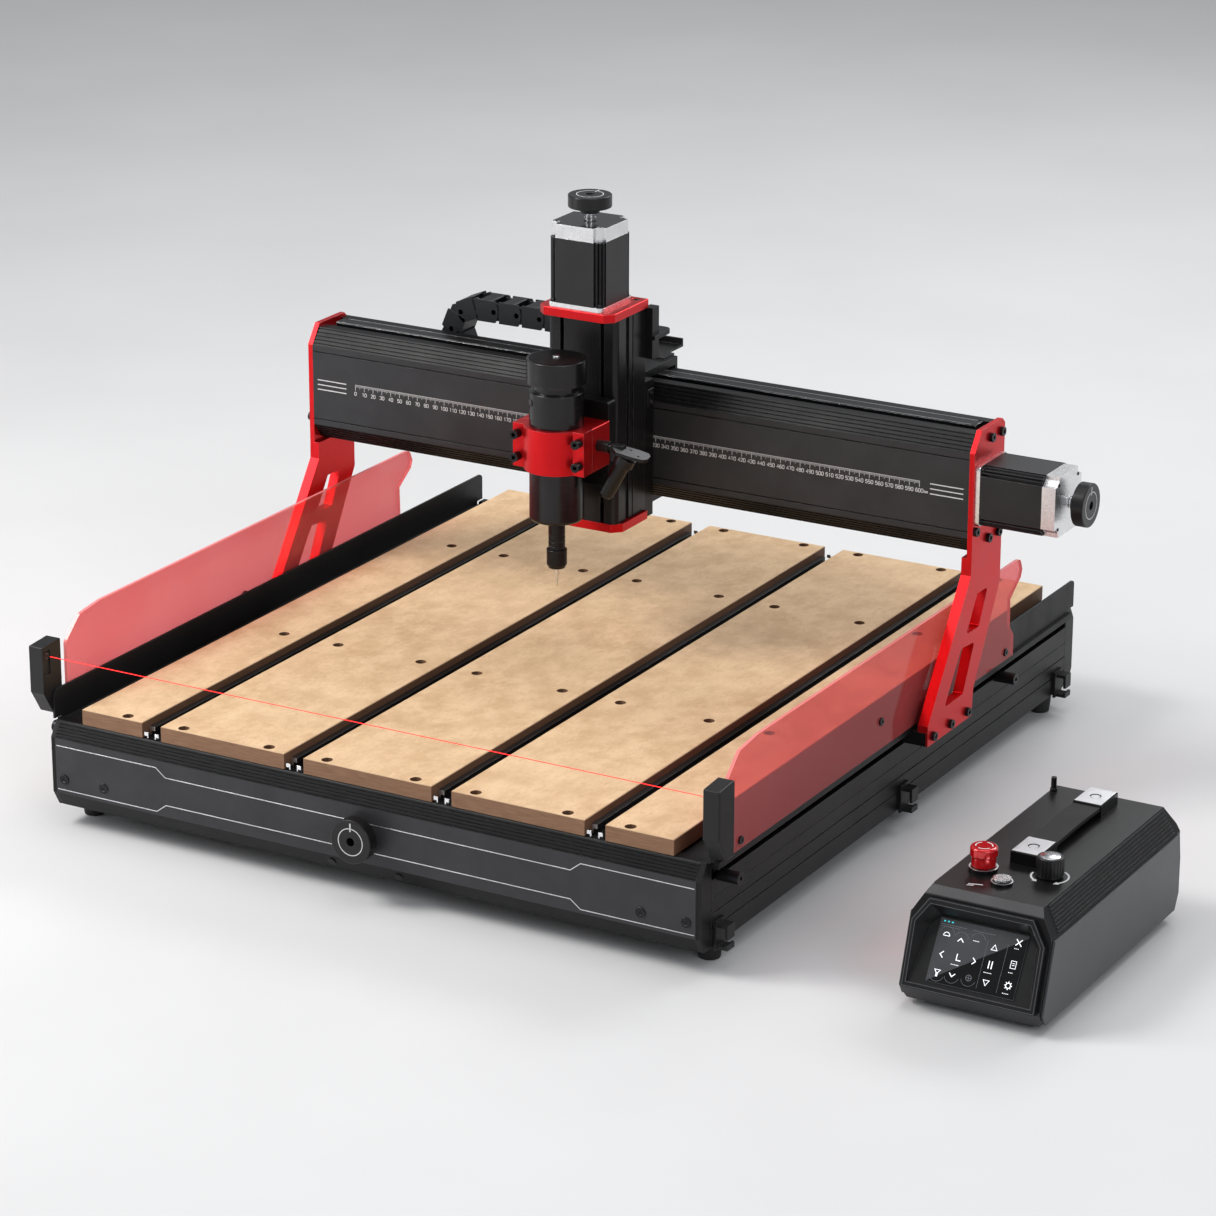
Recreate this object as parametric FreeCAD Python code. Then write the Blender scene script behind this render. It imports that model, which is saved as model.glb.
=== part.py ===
import FreeCAD, Part
import math, os

# Gantry CNC router with a free-standing controller, as separate pieces.
# Millimetres, +Z up, X along the gantry beam, Y towards the back.
# Origin: middle of the work surface (top of the spoilboards).
# Shapes are drawn with Y measured from the boards' front edge, and every one
# is shifted by -BOARD_LEN/2 in save(), which puts Y = 0 in the middle.

# ------------------------------------------------------------ driving sizes
BOARD_LEN, BOARD_T = 734.0, 14.5       # spoilboards
BOARD_WIDE, BOARD_NARROW, GAP = 130.0, 65.0, 20.0
HOLE_R = 5.0
HOLE_ROWS = (7.0, 254.0, 550.0, 727.0)
FLOOR_Z = -114.0                       # underside of the rubber feet
BASE_HX = 330.0                        # half width over the side rails
BASE_FRONT = -8.4                      # front face of the front beam
RAIL_Y0, RAIL_Y1 = 11.0, 723.0         # side rails between the end beams
RAIL_Z0 = -95.0
SLOT_Z0, SLOT_Z1 = -34.0, -23.5        # running slot in each side
COVER_TOP = -18.0
WALL_TOP = 12.0
GUARD_X0, GUARD_T = 333.0, 3.0
LEG_OUT, LEG_T, LEG_REB = 353.5, 10.0, 5.0
BEAM_HX = LEG_OUT - LEG_REB            # beam half length
BEAM_Y0, BEAM_Y1 = 451.0, 512.0
BEAM_ZC, BEAM_HZ = 177.5, 55.0
SCREW_R = 6.0                          # ball screws
RUN = 0.05                             # running clearance, radial
CAR_X = -8.0                           # carriage centre at rest
MOTOR_W, MOTOR_L = 56.4, 77.5          # square stepper motors
KNOB_R, KNOB_T = 20.0, 11.5
SP_Y, SP_R = 335.0, 24.95              # spindle axis and barrel
COL_Y0, COL_Y1, COL_HX = 381.0, 434.0, 36.0
COL_Z0, COL_Z1 = 117.0, 311.5
Y_SCREW_Z = -55.0
BOX_X, BOX_H = 558.5, 100.0            # controller

V = FreeCAD.Vector
OUT = "parts"
os.makedirs(OUT, exist_ok=True)


# ------------------------------------------------------------ helpers
def box(x0, x1, y0, y1, z0, z1):
    return Part.makeBox(x1 - x0, y1 - y0, z1 - z0, V(x0, y0, z0))


def cyl(x, y, z, r, h, d="z"):
    axis = {"x": V(1, 0, 0), "y": V(0, 1, 0), "z": V(0, 0, 1)}[d]
    return Part.makeCylinder(r, h, V(x, y, z), axis)


def cone(x, y, z, r1, r2, h, d="z"):
    axis = {"x": V(1, 0, 0), "y": V(0, 1, 0), "z": V(0, 0, 1)}[d]
    return Part.makeCone(r1, r2, h, V(x, y, z), axis)


def prism(points, d, a, b):
    """Polygon extruded from a to b along d. Points are (y, z), (x, z) or (x, y)."""
    put = {
        "x": lambda p: V(a, p[0], p[1]),
        "y": lambda p: V(p[0], a, p[1]),
        "z": lambda p: V(p[0], p[1], a),
    }[d]
    vec = {"x": V(b - a, 0, 0), "y": V(0, b - a, 0), "z": V(0, 0, b - a)}[d]
    pts = [put(p) for p in points]
    return Part.Face(Part.makePolygon(pts + [pts[0]])).extrude(vec)


def fuse(*shapes):
    s = shapes[0]
    for t in shapes[1:]:
        s = s.fuse(t)
    return s.removeSplitter()


def cut(s, *tools):
    for t in tools:
        s = s.cut(t)
    return s


def mirror_x(s, x=0.0):
    return s.mirror(V(x, 0, 0), V(1, 0, 0))


def mirror_y(s, y):
    return s.mirror(V(0, y, 0), V(0, 1, 0))


def chamfer(s, size, pick):
    edges = [e for e in s.Edges if pick(e)]
    return s.makeChamfer(size, edges) if edges else s


def fillet(s, r, pick):
    edges = [e for e in s.Edges if pick(e)]
    return s.makeFillet(r, edges) if edges else s


def along(e, d):
    """Is the edge a straight one along d?"""
    if len(e.Vertexes) != 2:
        return False
    v = e.Vertexes[1].Point - e.Vertexes[0].Point
    n = {"x": V(1, 0, 0), "y": V(0, 1, 0), "z": V(0, 0, 1)}[d]
    return v.Length > 1e-6 and abs(v.normalize().dot(n)) > 0.9999


def save(name, *solids):
    flat = []
    for s in solids:
        flat += s.Solids
    for s in flat:
        assert s.isValid() and s.Volume > 0, name
    shape = flat[0] if len(flat) == 1 else Part.makeCompound(flat)
    shape = shape.copy()
    shape.translate(V(0, -BOARD_LEN / 2, 0))
    shape.exportStep(os.path.join(OUT, name + ".step"))


def screw_head(x, y, z, r, h, sign, d, socket=0.55):
    """Socket cap head standing out from a face at (x, y, z) along sign*d."""
    pos = {"x": (x if sign > 0 else x - h, y, z), "y": (x, y if sign > 0 else y - h, z),
           "z": (x, y, z if sign > 0 else z - h)}[d]
    head = cyl(*pos, r, h, d)
    hs = h * 0.6
    off = h - hs if sign > 0 else 0
    p2 = list(pos)
    p2["xyz".index(d)] += off
    hexpts = [(r * socket * math.cos(math.radians(60 * i)), r * socket * math.sin(math.radians(60 * i))) for i in range(6)]
    c = {"x": (y, z), "y": (x, z), "z": (x, y)}[d]
    a = p2["xyz".index(d)]
    return head.cut(prism([(c[0] + u, c[1] + v) for u, v in hexpts], d, a, a + hs))


# ------------------------------------------------------------ base frame
edges_x = [-300.0]
for w in (BOARD_NARROW, BOARD_WIDE, BOARD_WIDE, BOARD_WIDE, BOARD_NARROW):
    edges_x += [edges_x[-1] + w, edges_x[-1] + w + GAP]
boards = []
for i in range(5):
    x0, x1 = edges_x[2 * i], edges_x[2 * i + 1]
    b = box(x0, x1, 0, BOARD_LEN, -BOARD_T, 0)
    b = chamfer(b, 0.6, lambda e: e.BoundBox.ZMin > -0.1)
    xs = [x1 - 20] if i == 0 else [x0 + 20] if i == 4 else [x0 + 20, x1 - 20]
    b = cut(b, *[cyl(x, y, -BOARD_T - 1, HOLE_R, BOARD_T + 2) for x in xs for y in HOLE_ROWS])
    boards.append(b)
save("spoilboards", *boards)

# slotted bed profiles run from beam to beam under the gaps between boards
profiles = []
for xc in (-225.0, -75.0, 75.0, 225.0):
    p = fuse(box(xc - 30, xc + 30, RAIL_Y0, RAIL_Y1, -31, -BOARD_T),
             box(xc - 9.7, xc + 9.7, RAIL_Y0, RAIL_Y1, -BOARD_T, -7))
    p = cut(p, box(xc - 4.1, xc + 4.1, 0, BOARD_LEN, -12, -6),
            box(xc - 7.5, xc + 7.5, 0, BOARD_LEN, -19, -11),
            box(xc - 27, xc - 11, 0, BOARD_LEN, -28, -17.5),
            box(xc + 11, xc + 27, 0, BOARD_LEN, -28, -17.5),
            box(xc - 8, xc + 8, 0, BOARD_LEN, -28, -22))
    profiles.append(p)
save("bed_profiles", *profiles)


def beam_outline(inset=0.0):
    """Front beam section in (y, z), ribbed on the upper chamfer."""
    y0 = BASE_FRONT
    pts = [(RAIL_Y0, -95), (-0.7, -95), (y0, -81), (y0, -29)]
    a, b = (y0, -29.0), (-0.6, -16.2)
    n = 5
    for k in range(n):
        t0, t1, t2 = (k + 0.25) / n, (k + 0.5) / n, (k + 0.75) / n
        for t, dep in ((t0, 0), (t0, 1.0), (t1, 1.0), (t1, 0)):
            pts.append((a[0] + (b[0] - a[0]) * t + 0.85 * dep, a[1] + (b[1] - a[1]) * t - 0.52 * dep))
    pts += [b, (0.6, -15), (RAIL_Y0, -15)]
    return pts


front = prism(beam_outline(), "x", -325, 325)
front = cut(front, prism([(8, -92), (0.2, -92), (-5.2, -80.5), (-5.2, -32), (2, -20), (8, -20)], "x", -324, 324),
            cyl(0, -10, Y_SCREW_Z, 7.5, 30, "y"))
rear = mirror_y(front, BOARD_LEN / 2).cut(cyl(0, 700, Y_SCREW_Z, 0.01, 1, "y"))
save("end_beams", front, rear)

cap_pts = [(RAIL_Y0, -95), (-0.7, -95), (BASE_FRONT, -81), (BASE_FRONT, -29), (0.6, -15), (RAIL_Y0, -15)]
caps = []
for sx in (1, -1):
    c = prism(cap_pts, "x", 325, 330)
    c = chamfer(c, 0.8, lambda e: e.BoundBox.XMin > 329.9)
    c = cut(c, cyl(328.5, 5.0, -24, 3.4, 2, "x"), cyl(328.5, 5.0, -88, 3.4, 2, "x"))
    c = fuse(c, cyl(328.5, 5.0, -24, 3.0, 1.2, "x"), cyl(328.5, 5.0, -88, 3.0, 1.2, "x"))
    if sx < 0:
        c = mirror_x(c)
    caps += [c, mirror_y(c, BOARD_LEN / 2)]
save("beam_end_caps", *caps)

# side rails: trough with the running slot left open above the outer wall
rails = []
for sx in (1, -1):
    prof = [(272, RAIL_Z0), (BASE_HX, RAIL_Z0), (BASE_HX, -78.3), (328.9, -78.3), (328.9, -77.1), (BASE_HX, -77.1),
            (BASE_HX, -64.6), (328.9, -64.6), (328.9, -63.4), (BASE_HX, -63.4), (BASE_HX, -50.4), (329.4, -50.4),
            (329.4, -49.8), (BASE_HX, -49.8), (BASE_HX, SLOT_Z0), (326, SLOT_Z0), (326, -91), (309, -91), (309, -60), (291, -60), (291, -91),
            (276, -91), (276, -50), (272, -50)]
    r = prism(prof, "y", RAIL_Y0, RAIL_Y1)
    if sx < 0:
        r = mirror_x(r)
    rails.append(r)
save("side_rails", *rails)

grails = []
for sx in (1, -1):
    g = prism([(292.5, -60), (307.5, -60), (307.5, -55.5), (305.7, -53.5), (307.5, -51.5), (307.5, -48), (292.5, -48),
               (292.5, -51.5), (294.3, -53.5), (292.5, -55.5)], "y", 16, 718)
    grails.append(g if sx > 0 else mirror_x(g))
save("y_guide_rails", *grails)

# slot covers with the upright dust walls, one folded section each side
walls = []
for sx in (1, -1):
    w = fuse(box(286, 336, RAIL_Y0, RAIL_Y1, SLOT_Z1, COVER_TOP),
             prism([(331, COVER_TOP), (333, COVER_TOP), (333, WALL_TOP), (331, WALL_TOP)], "y", RAIL_Y0, RAIL_Y1),
             box(331, 333, 0.8, 733.2, -14.8, WALL_TOP))
    w = fillet(w, 5, lambda e: along(e, "x") and e.BoundBox.ZMin > WALL_TOP - 0.1)
    walls.append(w if sx > 0 else mirror_x(w))
save("dust_walls", *walls)

# coloured acrylic side guards
guards = []
gpts = [(24, COVER_TOP), (24, 50), (46, 70), (78, 74), (590, 74), (598, 73), (603, 62), (600, 55), (578, 40), (579, 12), (588, 2), (588, COVER_TOP)]
for sx in (1, -1):
    g = prism(gpts, "x", GUARD_X0, GUARD_X0 + GUARD_T)
    g = fillet(g, 6, lambda e: along(e, "x") and (abs(e.BoundBox.YMin - 24) < 0.1 and e.BoundBox.ZMin > 40 or abs(e.BoundBox.YMin - 598) < 0.1))
    guards.append(g if sx > 0 else mirror_x(g))
save("guard_panels", *guards)

# light barrier posts with their lenses at the front of each side
posts = []
for sx in (1, -1):
    p = prism([(-11.5, 11.5), (1.5, -10), (15.5, -10), (15.5, 57), (-11.5, 55)], "x", 333, 348)
    p = fillet(p, 1.5, lambda e: along(e, "x") or (e.BoundBox.XMin > 347.9))
    p = cut(p, box(332, 334.2, -8.5, 0.0, 28, 51))
    lens = fuse(cyl(331.6, -5, 46, 2.0, 2.6, "x"), cyl(333.2, -5, 46, 3.0, 1.0, "x"))
    for s in (p, lens):
        posts.append(s if sx > 0 else mirror_x(s))
save("light_barrier_posts", *posts)

feet = []
for sx in (1, -1):
    for y in (34.0, 700.0):
        f = fuse(cyl(sx * 316, y, RAIL_Z0 - 5, 11, 5), cone(sx * 316, y, FLOOR_Z, 9.5, 11, 14))
        f = fillet(f, 1.2, lambda e: e.BoundBox.ZMax < FLOOR_Z + 0.1)
        feet.append(f)
save("rubber_feet", *feet)

clips = []
for y in (22.0, 370.0, 706.0):
    c = fuse(box(BASE_HX, 332.5, y - 8, y + 8, -98, -72), box(332, 342, y - 6, y + 6, -77.5, -74.5),
             box(332, 342, y - 6, y + 6, -97, -94), box(340, 342.5, y - 6, y + 6, -87.5, -74.5), box(340, 342.5, y - 6, y + 6, -97, -92))
    clips.append(c)
save("cable_clips", *clips)

stops = []
for sx in (1, -1):
    for y in (24.3, 566.0):
        s = cyl(BASE_HX, y, -33.0, 5.5, 20, "x")
        s = chamfer(s, 0.5, lambda e: e.BoundBox.XMin > BASE_HX + 19.9)
        s = cut(s, prism([(y + 2.3 * math.cos(math.radians(60 * i)), -33.0 + 2.3 * math.sin(math.radians(60 * i))) for i in range(6)], "x", BASE_HX + 16, BASE_HX + 21))
        stops.append(s if sx > 0 else mirror_x(s))
save("slot_stops", *stops)


# ------------------------------------------------------------ drives
def square_section(w, c, f=3.0):
    """Motor lamination outline: square with stepped corners."""
    h, k = w / 2, w / 2 - c
    return [(-k, -h), (k, -h), (k, -h + f), (h - f, -k), (h, -k), (h, k), (h - f, k), (k, h - f), (k, h), (-k, h),
            (-k, h - f), (-h + f, k), (-h, k), (-h, -k), (-h + f, -k), (-k, -h + f)]


def motor(cx, cy, cz, d):
    """Stepper motor: front flange at the given face, body and end cap along +d. The centre is on the shaft."""
    c = {"x": (cy, cz), "y": (cx, cz), "z": (cx, cy)}[d]
    a = {"x": cx, "y": cy, "z": cz}[d]
    h = MOTOR_W / 2
    sq = lambda w: [(c[0] + u * w, c[1] + v * w) for u, v in ((-1, -1), (1, -1), (1, 1), (-1, 1))]
    fl = prism(sq(h), d, a, a + 4.5)
    fl = fillet(fl, 4, lambda e: along(e, d))
    body = prism([(c[0] + u, c[1] + v) for u, v in square_section(MOTOR_W, 8.5)], d, a + 4.5, a + MOTOR_L - 13)
    end = prism([(c[0] + u, c[1] + v) for u, v in square_section(MOTOR_W, 8.5, 4.0)], d, a + MOTOR_L - 13, a + MOTOR_L)
    bore = cyl(cx if d != "x" else cx - 1, cy if d != "y" else cy - 1, cz if d != "z" else cz - 1, 4 + RUN, MOTOR_L + 2, d)
    return fuse(fl, body).cut(bore), end.cut(bore)


def knob(x, y, z, d, sign):
    """Hand knob on the motor's rear shaft; (x, y, z) is the outer face centre."""
    k = Part.makeCylinder(KNOB_R, KNOB_T, V(0, 0, -KNOB_T), V(0, 0, 1))
    k = fillet(k, 1.0, lambda e: len(e.Vertexes) == 1)
    hub = Part.makeCylinder(8.7, 5.2, V(0, 0, -KNOB_T - 5.2), V(0, 0, 1))
    k = fuse(k, hub).cut(Part.makeCylinder(4.02, 20, V(0, 0, -KNOB_T - 8), V(0, 0, 1)))
    rot = {("x", 1): FreeCAD.Rotation(V(0, 1, 0), 90), ("y", -1): FreeCAD.Rotation(V(1, 0, 0), 90),
           ("z", 1): FreeCAD.Rotation()}[(d, sign)]
    k.Placement = FreeCAD.Placement(V(x, y, z), rot)
    return k


# bed (Y) drive, under the boards
ym_flange = 12.0 + MOTOR_L
m_body, m_end = motor(0, 0, Y_SCREW_Z, "y")
flip = lambda s: mirror_y(s, 0).translated(V(0, ym_flange, 0))
save("y_motor", flip(m_body), flip(m_end))
mount = cut(box(-106, 106, ym_flange, ym_flange + 8, -90, -31), cyl(0, ym_flange - 1, Y_SCREW_Z, 8, 12, "y"))
tail = cut(box(-24, 24, 690, RAIL_Y1, -76, -35), cyl(0, 688, Y_SCREW_Z, SCREW_R + RUN, 24, "y"))
save("y_drive_mounts", mount, tail)
save("y_drive_screw", cyl(0, 109.0, Y_SCREW_Z, SCREW_R, 596.5, "y"),
     cut(fuse(cyl(0, -20, Y_SCREW_Z, 4, 129, "y"), cyl(0, 99, Y_SCREW_Z, 12.5, 21, "y")),
         cyl(0, 109, Y_SCREW_Z, SCREW_R, 20, "y")))
save("y_knob", knob(0, -27.6, Y_SCREW_Z, "y", -1))

# ------------------------------------------------------------ gantry
leg_outer = [(451, 217.5), (460.5, 231), (464, 236), (508, 236), (513.5, 231), (513.5, 79.6), (463.4, -7), (461.1, -33.4), (369.6, -33.4), (369.5, -14.2), (450.6, 103.2), (451, 119.5)]
leg_inner = [(451, 119.4), (513.5, 119.4), (513.5, 79.6), (463.4, -7), (462.3, -20.8), (369.6, -20.8), (369.5, -14.2), (450.6, 103.2)]
win_up = [(487.5, 82.4), (471.6, 49.5), (444.1, 49.5), (465.6, 82.7)]
win_low = [(462.6, 37.2), (441.2, -6.1), (402.4, -6.5), (435.2, 39.5)]


def leg(bore):
    outer = prism(leg_outer, "x", LEG_OUT - LEG_REB, LEG_OUT)
    outer = outer.cut(box(LEG_OUT - LEG_REB - 1, LEG_OUT - 2, 360, 470, -34, -20.8))
    inner = prism(leg_inner, "x", LEG_OUT - LEG_T, LEG_OUT - LEG_REB)
    s = fuse(outer, inner)
    s = cut(s, prism(win_up, "x", 340, 360), prism(win_low, "x", 340, 360))
    s = fillet(s, 2.5, lambda e: along(e, "x") and 400 < e.BoundBox.YMin < 490 and -7 < e.BoundBox.ZMin < 83 and e.BoundBox.XLength > 9)
    return s.cut(cyl(340, 481.5, BEAM_ZC, bore, 20, "x"))


save("gantry_legs", leg(13.0), mirror_x(leg(8.0)))


def beam_section():
    zc = BEAM_ZC
    up = [(BEAM_Y0, zc), (BEAM_Y0, 210.4), (BEAM_Y0 + 0.8, 210.7), (BEAM_Y0 + 0.8, 211.4), (BEAM_Y0, 211.7), (BEAM_Y0, 217.3)]
    a, b = (BEAM_Y0, 217.3), (463.0, 232.5)
    n = 5
    for k in range(n):
        t0, t1 = (k + 0.3) / n, (k + 0.7) / n
        for t, dep in ((t0, 0), (t0, 1.1), (t1, 1.1), (t1, 0)):
            up.append((a[0] + (b[0] - a[0]) * t + 0.78 * dep, a[1] + (b[1] - a[1]) * t - 0.62 * dep))
    up += [b, (474, 232.5), (474, 228.5), (480, 228.5), (480, 228.0), (496, 228.0), (496, 228.5), (502, 228.5), (502, 232.5), (BEAM_Y1, 232.5), (BEAM_Y1, 226.5), (508, 226.5), (508, 222.5), (460, 222.5), (455, 216), (455, zc)]
    down = [(y, 2 * zc - z) for y, z in reversed(up[1:-1])]
    return up + down


beam = prism(beam_section(), "x", -BEAM_HX, BEAM_HX)
save("gantry_beam", beam)
xr = []
for s in (1, -1):
    z0, z1 = BEAM_ZC + s * 50.5, BEAM_ZC + s * 57.0
    lo, hi = min(z0, z1), max(z0, z1)
    r = box(-340, 340, 480.5, 495.5, lo, hi)
    r = chamfer(r, 0.8, lambda e: along(e, "x"))
    xr.append(r)
save("x_guide_rails", *xr)

# feet in the slots, guide blocks and the cross member below the bed
blocks, feetb = [], []
for sx in (1, -1):
    fb = fuse(box(262, 337.5, 369.6, 512, -33.3, -23.9), box(337.4, 351.5, 369.6, 461.0, -33.3, -20.8))
    fb = fb.cut(box(320, 340, 461.0, 520, -34, -20))
    feetb.append(fb if sx > 0 else mirror_x(fb))
    for y in (374.0, 446.0):
        b = box(283, 317, y, y + 60, -58.5, -33.3)
        b = b.cut(prism([(292.44, -61), (307.56, -61), (307.56, -55.45), (305.76, -53.5), (307.56, -51.55), (307.56, -47.95), (292.44, -47.95),
                         (292.44, -51.55), (294.24, -53.5), (292.44, -55.45)], "y", y - 1, y + 61))
        blocks.append(b if sx > 0 else mirror_x(b))
save("foot_blocks", *feetb)
save("y_guide_blocks", *blocks)
cross = fuse(box(-282.9, 282.9, 462, 512, -46, -33.3), box(-25, 25, 512, 540, -72, -34))
cross = cut(cross, cyl(0, 500, Y_SCREW_Z, SCREW_R + RUN, 50, "y"))
save("gantry_crossbar", cross)

# X drive inside the beam, motor outside the right leg
mb, me = motor(LEG_OUT, 481.5, BEAM_ZC, "x")
save("x_motor", mb, me)
save("x_drive_screw", cyl(-343, 481.5, BEAM_ZC, SCREW_R, 677, "x"),
     cut(fuse(cyl(334, 481.5, BEAM_ZC, 4, 114.5, "x"), cyl(322, 481.5, BEAM_ZC, 12.5, 24, "x")),
         cyl(318, 481.5, BEAM_ZC, SCREW_R, 16, "x")))
save("x_knob", knob(LEG_OUT + MOTOR_L + 22.5, 481.5, BEAM_ZC, "x", 1))
bear = cut(box(-BEAM_HX, -336, 460, 503, 150, 205), cyl(-350, 481.5, BEAM_ZC, SCREW_R + RUN, 20, "x"))
tray = fuse(box(-340, 60, BEAM_Y1, 514, 123.5, 142), box(-340, 60, BEAM_Y1, 554, 142, 144),
            box(-340, 60, 552, 554, 142, 197), box(-340, 60, 521, 554, 187, 189))
save("x_screw_bearing", bear)
save("chain_tray", tray)

leg_sc = []
for sx in (1, -1):
    pts = [(484.2, 224.5), (505.6, 224.5), (484, 130.3), (504.8, 130.3), (456.5, 143.5), (380.3, -26.1), (415.7, -26.1), (450.8, -26.1)]
    hs = [screw_head(LEG_OUT, y, z, 4.2, 3.2, 1, "x") for y, z in pts]
    if sx > 0:
        for u in (-24.4, 24.4):
            for v in (-24.4, 24.4):
                hs.append(screw_head(LEG_OUT + 4.5, 481.5 + u, BEAM_ZC + v, 2.4, 3.0, 1, "x"))
    else:
        hs = [mirror_x(h) for h in hs]
    leg_sc += hs
save("gantry_screws", *leg_sc)

# ------------------------------------------------------------ carriage and Z column
X0, X1 = CAR_X - 39, CAR_X + 39
AX0, AX1 = CAR_X - 23, CAR_X + 23
plate = box(X0 + 3, X1 - 3, COL_Y1, 449.5, 109, 240)
top = fuse(box(AX0, AX1, 449.4, 519, 234.6, 242), box(AX0, AX1, 475.5, 500.5, 233.6, 234.8))
bot = fuse(box(AX0, AX1, 449.4, 502, 112, 120.4), box(AX0, AX1, 475.5, 500.5, 120.2, 121.4))
top = top.cut(box(AX0 - 1, AX1 + 1, 480.45, 495.55, 233, 234.55))
bot = bot.cut(box(AX0 - 1, AX1 + 1, 480.45, 495.55, 120.45, 122))
drop = box(AX0, AX1, 515, 519, 160, 242)
arm = box(AX0 + 3, AX1 - 3, 467, 515.1, 163.5, 191.5)
car = fuse(plate, top, bot, drop, arm)
car = cut(car, cyl(AX0 - 5, 481.5, BEAM_ZC, SCREW_R + RUN, 60, "x"))
# bracket that takes the moving end of the drag chain
br = fuse(box(-45, 4, 519, 550, 242, 244), box(AX0, AX1 - 4, 500, 520, 242, 244), box(-45, 4, 548, 550, 243.9, 250))
# connector plate and cable tongue on the back of the column
tongue = box(14, 38, COL_Y1, 468, 281, 285)
tongue = fillet(tongue, 8, lambda e: along(e, "z") and e.BoundBox.XMin > 37.9 and e.BoundBox.YMin > 465)
tongue = fuse(tongue, box(26.5, 35.5, COL_Y1, 446, 263, 311), box(14, 35.5, COL_Y1, 437, 263, 311))
save("x_carriage", car, br, tongue)


col = box(CAR_X - COL_HX, CAR_X + COL_HX, COL_Y0, COL_Y1, COL_Z0, COL_Z1)
col = fillet(col, 5, lambda e: along(e, "z") and e.BoundBox.YMax < COL_Y0 + 1)
col = cut(col, box(CAR_X - 32, CAR_X + 32, COL_Y0 + 5, COL_Y1 - 6, COL_Z0 - 1, COL_Z1 + 1),
          box(CAR_X - 23, CAR_X + 23, COL_Y0 - 1, COL_Y0 + 6, COL_Z0 - 1, COL_Z1 + 1))
for sx in (1, -1):
    x = CAR_X + sx * COL_HX
    col = cut(col, box(min(x, x - sx * 2.4), max(x, x - sx * 2.4), 398, 404, COL_Z0 - 1, COL_Z1 + 1),
              box(min(x, x - sx * 1.4), max(x, x - sx * 1.4), 410, 412, COL_Z0 - 1, COL_Z1 + 1))
save("z_column", col, box(CAR_X - 19, CAR_X + 19, COL_Y0, COL_Y0 + 2.5, COL_Z0, COL_Z1))

tp = prism([(X0 + 8, 365), (X1 - 8, 365), (X1, 373), (X1, COL_Y1), (X0, COL_Y1), (X0, 373)], "z", COL_Z1, COL_Z1 + 8)
tp = cut(tp, cyl(CAR_X, 395.2, COL_Z1 - 1, 13, 12))
tp = cut(tp, *[cyl(CAR_X + u, 427, COL_Z1 + 5, 3.4, 5) for u in (-30, -14, 14, 30)])
tp = chamfer(tp, 0.6, lambda e: e.BoundBox.ZMin > COL_Z1 + 7.9 and abs(e.BoundBox.ZLength) < 0.01 and e.BoundBox.YMin < 434)
bp = prism([(X0 + 8, 380), (X1 - 8, 380), (X1, 388), (X1, COL_Y1), (X0, COL_Y1), (X0, 388)], "z", COL_Z0 - 8, COL_Z0)
bp = cut(bp, cyl(CAR_X, 395.2, COL_Z0 - 9, SCREW_R + RUN, 12))
save("z_end_plates", tp, bp)
mb, me = motor(CAR_X, 395.2, COL_Z1 + 8, "z")
save("z_motor", mb, me)
zm_top = COL_Z1 + 8 + MOTOR_L
save("z_drive_screw", cyl(CAR_X, 395.2, 110, SCREW_R, 192),
     cut(fuse(cyl(CAR_X, 395.2, 302, 4, 117), cyl(CAR_X, 395.2, 291, 11.5, 20)),
         cyl(CAR_X, 395.2, 288, SCREW_R, 14)))
save("z_knob", knob(CAR_X, 395.2, zm_top + 23.8, "z", 1))
zr = []
for sx in (-1, 1):
    zr.append(box(CAR_X + sx * 22 - 4.5, CAR_X + sx * 22 + 4.5, 420, COL_Y1 - 6, COL_Z0 + 1, COL_Z1 - 1))
save("z_guide_rails", *zr)


# ------------------------------------------------------------ Z slide, clamp, spindle
ZB0, ZB1 = 184.0, 224.0
blk = box(CAR_X - 30, CAR_X + 30, 387, 419, ZB0, ZB1)
wings = []
for sx in (-1, 1):
    w = box(CAR_X + sx * 22 - 8, CAR_X + sx * 22 + 8, 411, 427, ZB0, ZB1)
    w = w.cut(box(CAR_X + sx * 22 - 4.56, CAR_X + sx * 22 + 4.56, 419.95, 430, ZB0 - 1, ZB1 + 1))
    blk = fuse(blk, w)
lugs = [box(CAR_X + sx * 21 - 1.4, CAR_X + sx * 21 + 1.4, 378, 388, ZB0, ZB1) for sx in (-1, 1)]
face = box(CAR_X - 36, CAR_X + 36, 366.5, 379.5, 158, 238)
face = fillet(face, 3, lambda e: along(e, "y"))
zs = fuse(blk, *lugs, face)
zs = cut(zs, cyl(CAR_X, 395.2, ZB0 - 1, SCREW_R + RUN, 60))
save("z_slide", zs)

CZ0, CZ1 = 180.0, 221.0
rear_half = box(CAR_X - 37, CAR_X + 37, SP_Y + 0.6, 366.5, CZ0, CZ1)
front_half = fuse(cyl(CAR_X, SP_Y, CZ0, 29.8, CZ1 - CZ0), box(CAR_X - 37, CAR_X + 37, 320, SP_Y, CZ0, CZ1))
front_half = front_half.cut(box(-100, 100, SP_Y - 0.6, 420, 150, 250))
bore = cyl(CAR_X, SP_Y, 150, 25.0, 100)
rear_half = chamfer(cut(rear_half, bore), 0.5, lambda e: along(e, "y") and e.BoundBox.XLength < 0.1 and abs(abs(e.BoundBox.XMin - CAR_X) - 37) < 0.1)
front_half = cut(front_half, bore)
save("spindle_clamp", front_half, rear_half)
cs = []
for sx in (-1, 1):
    for z in (190.0, 211.5):
        cs.append(screw_head(CAR_X + sx * 32, 320, z, 4.2, 8.0, -1, "y"))
save("clamp_screws", *cs)

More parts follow.
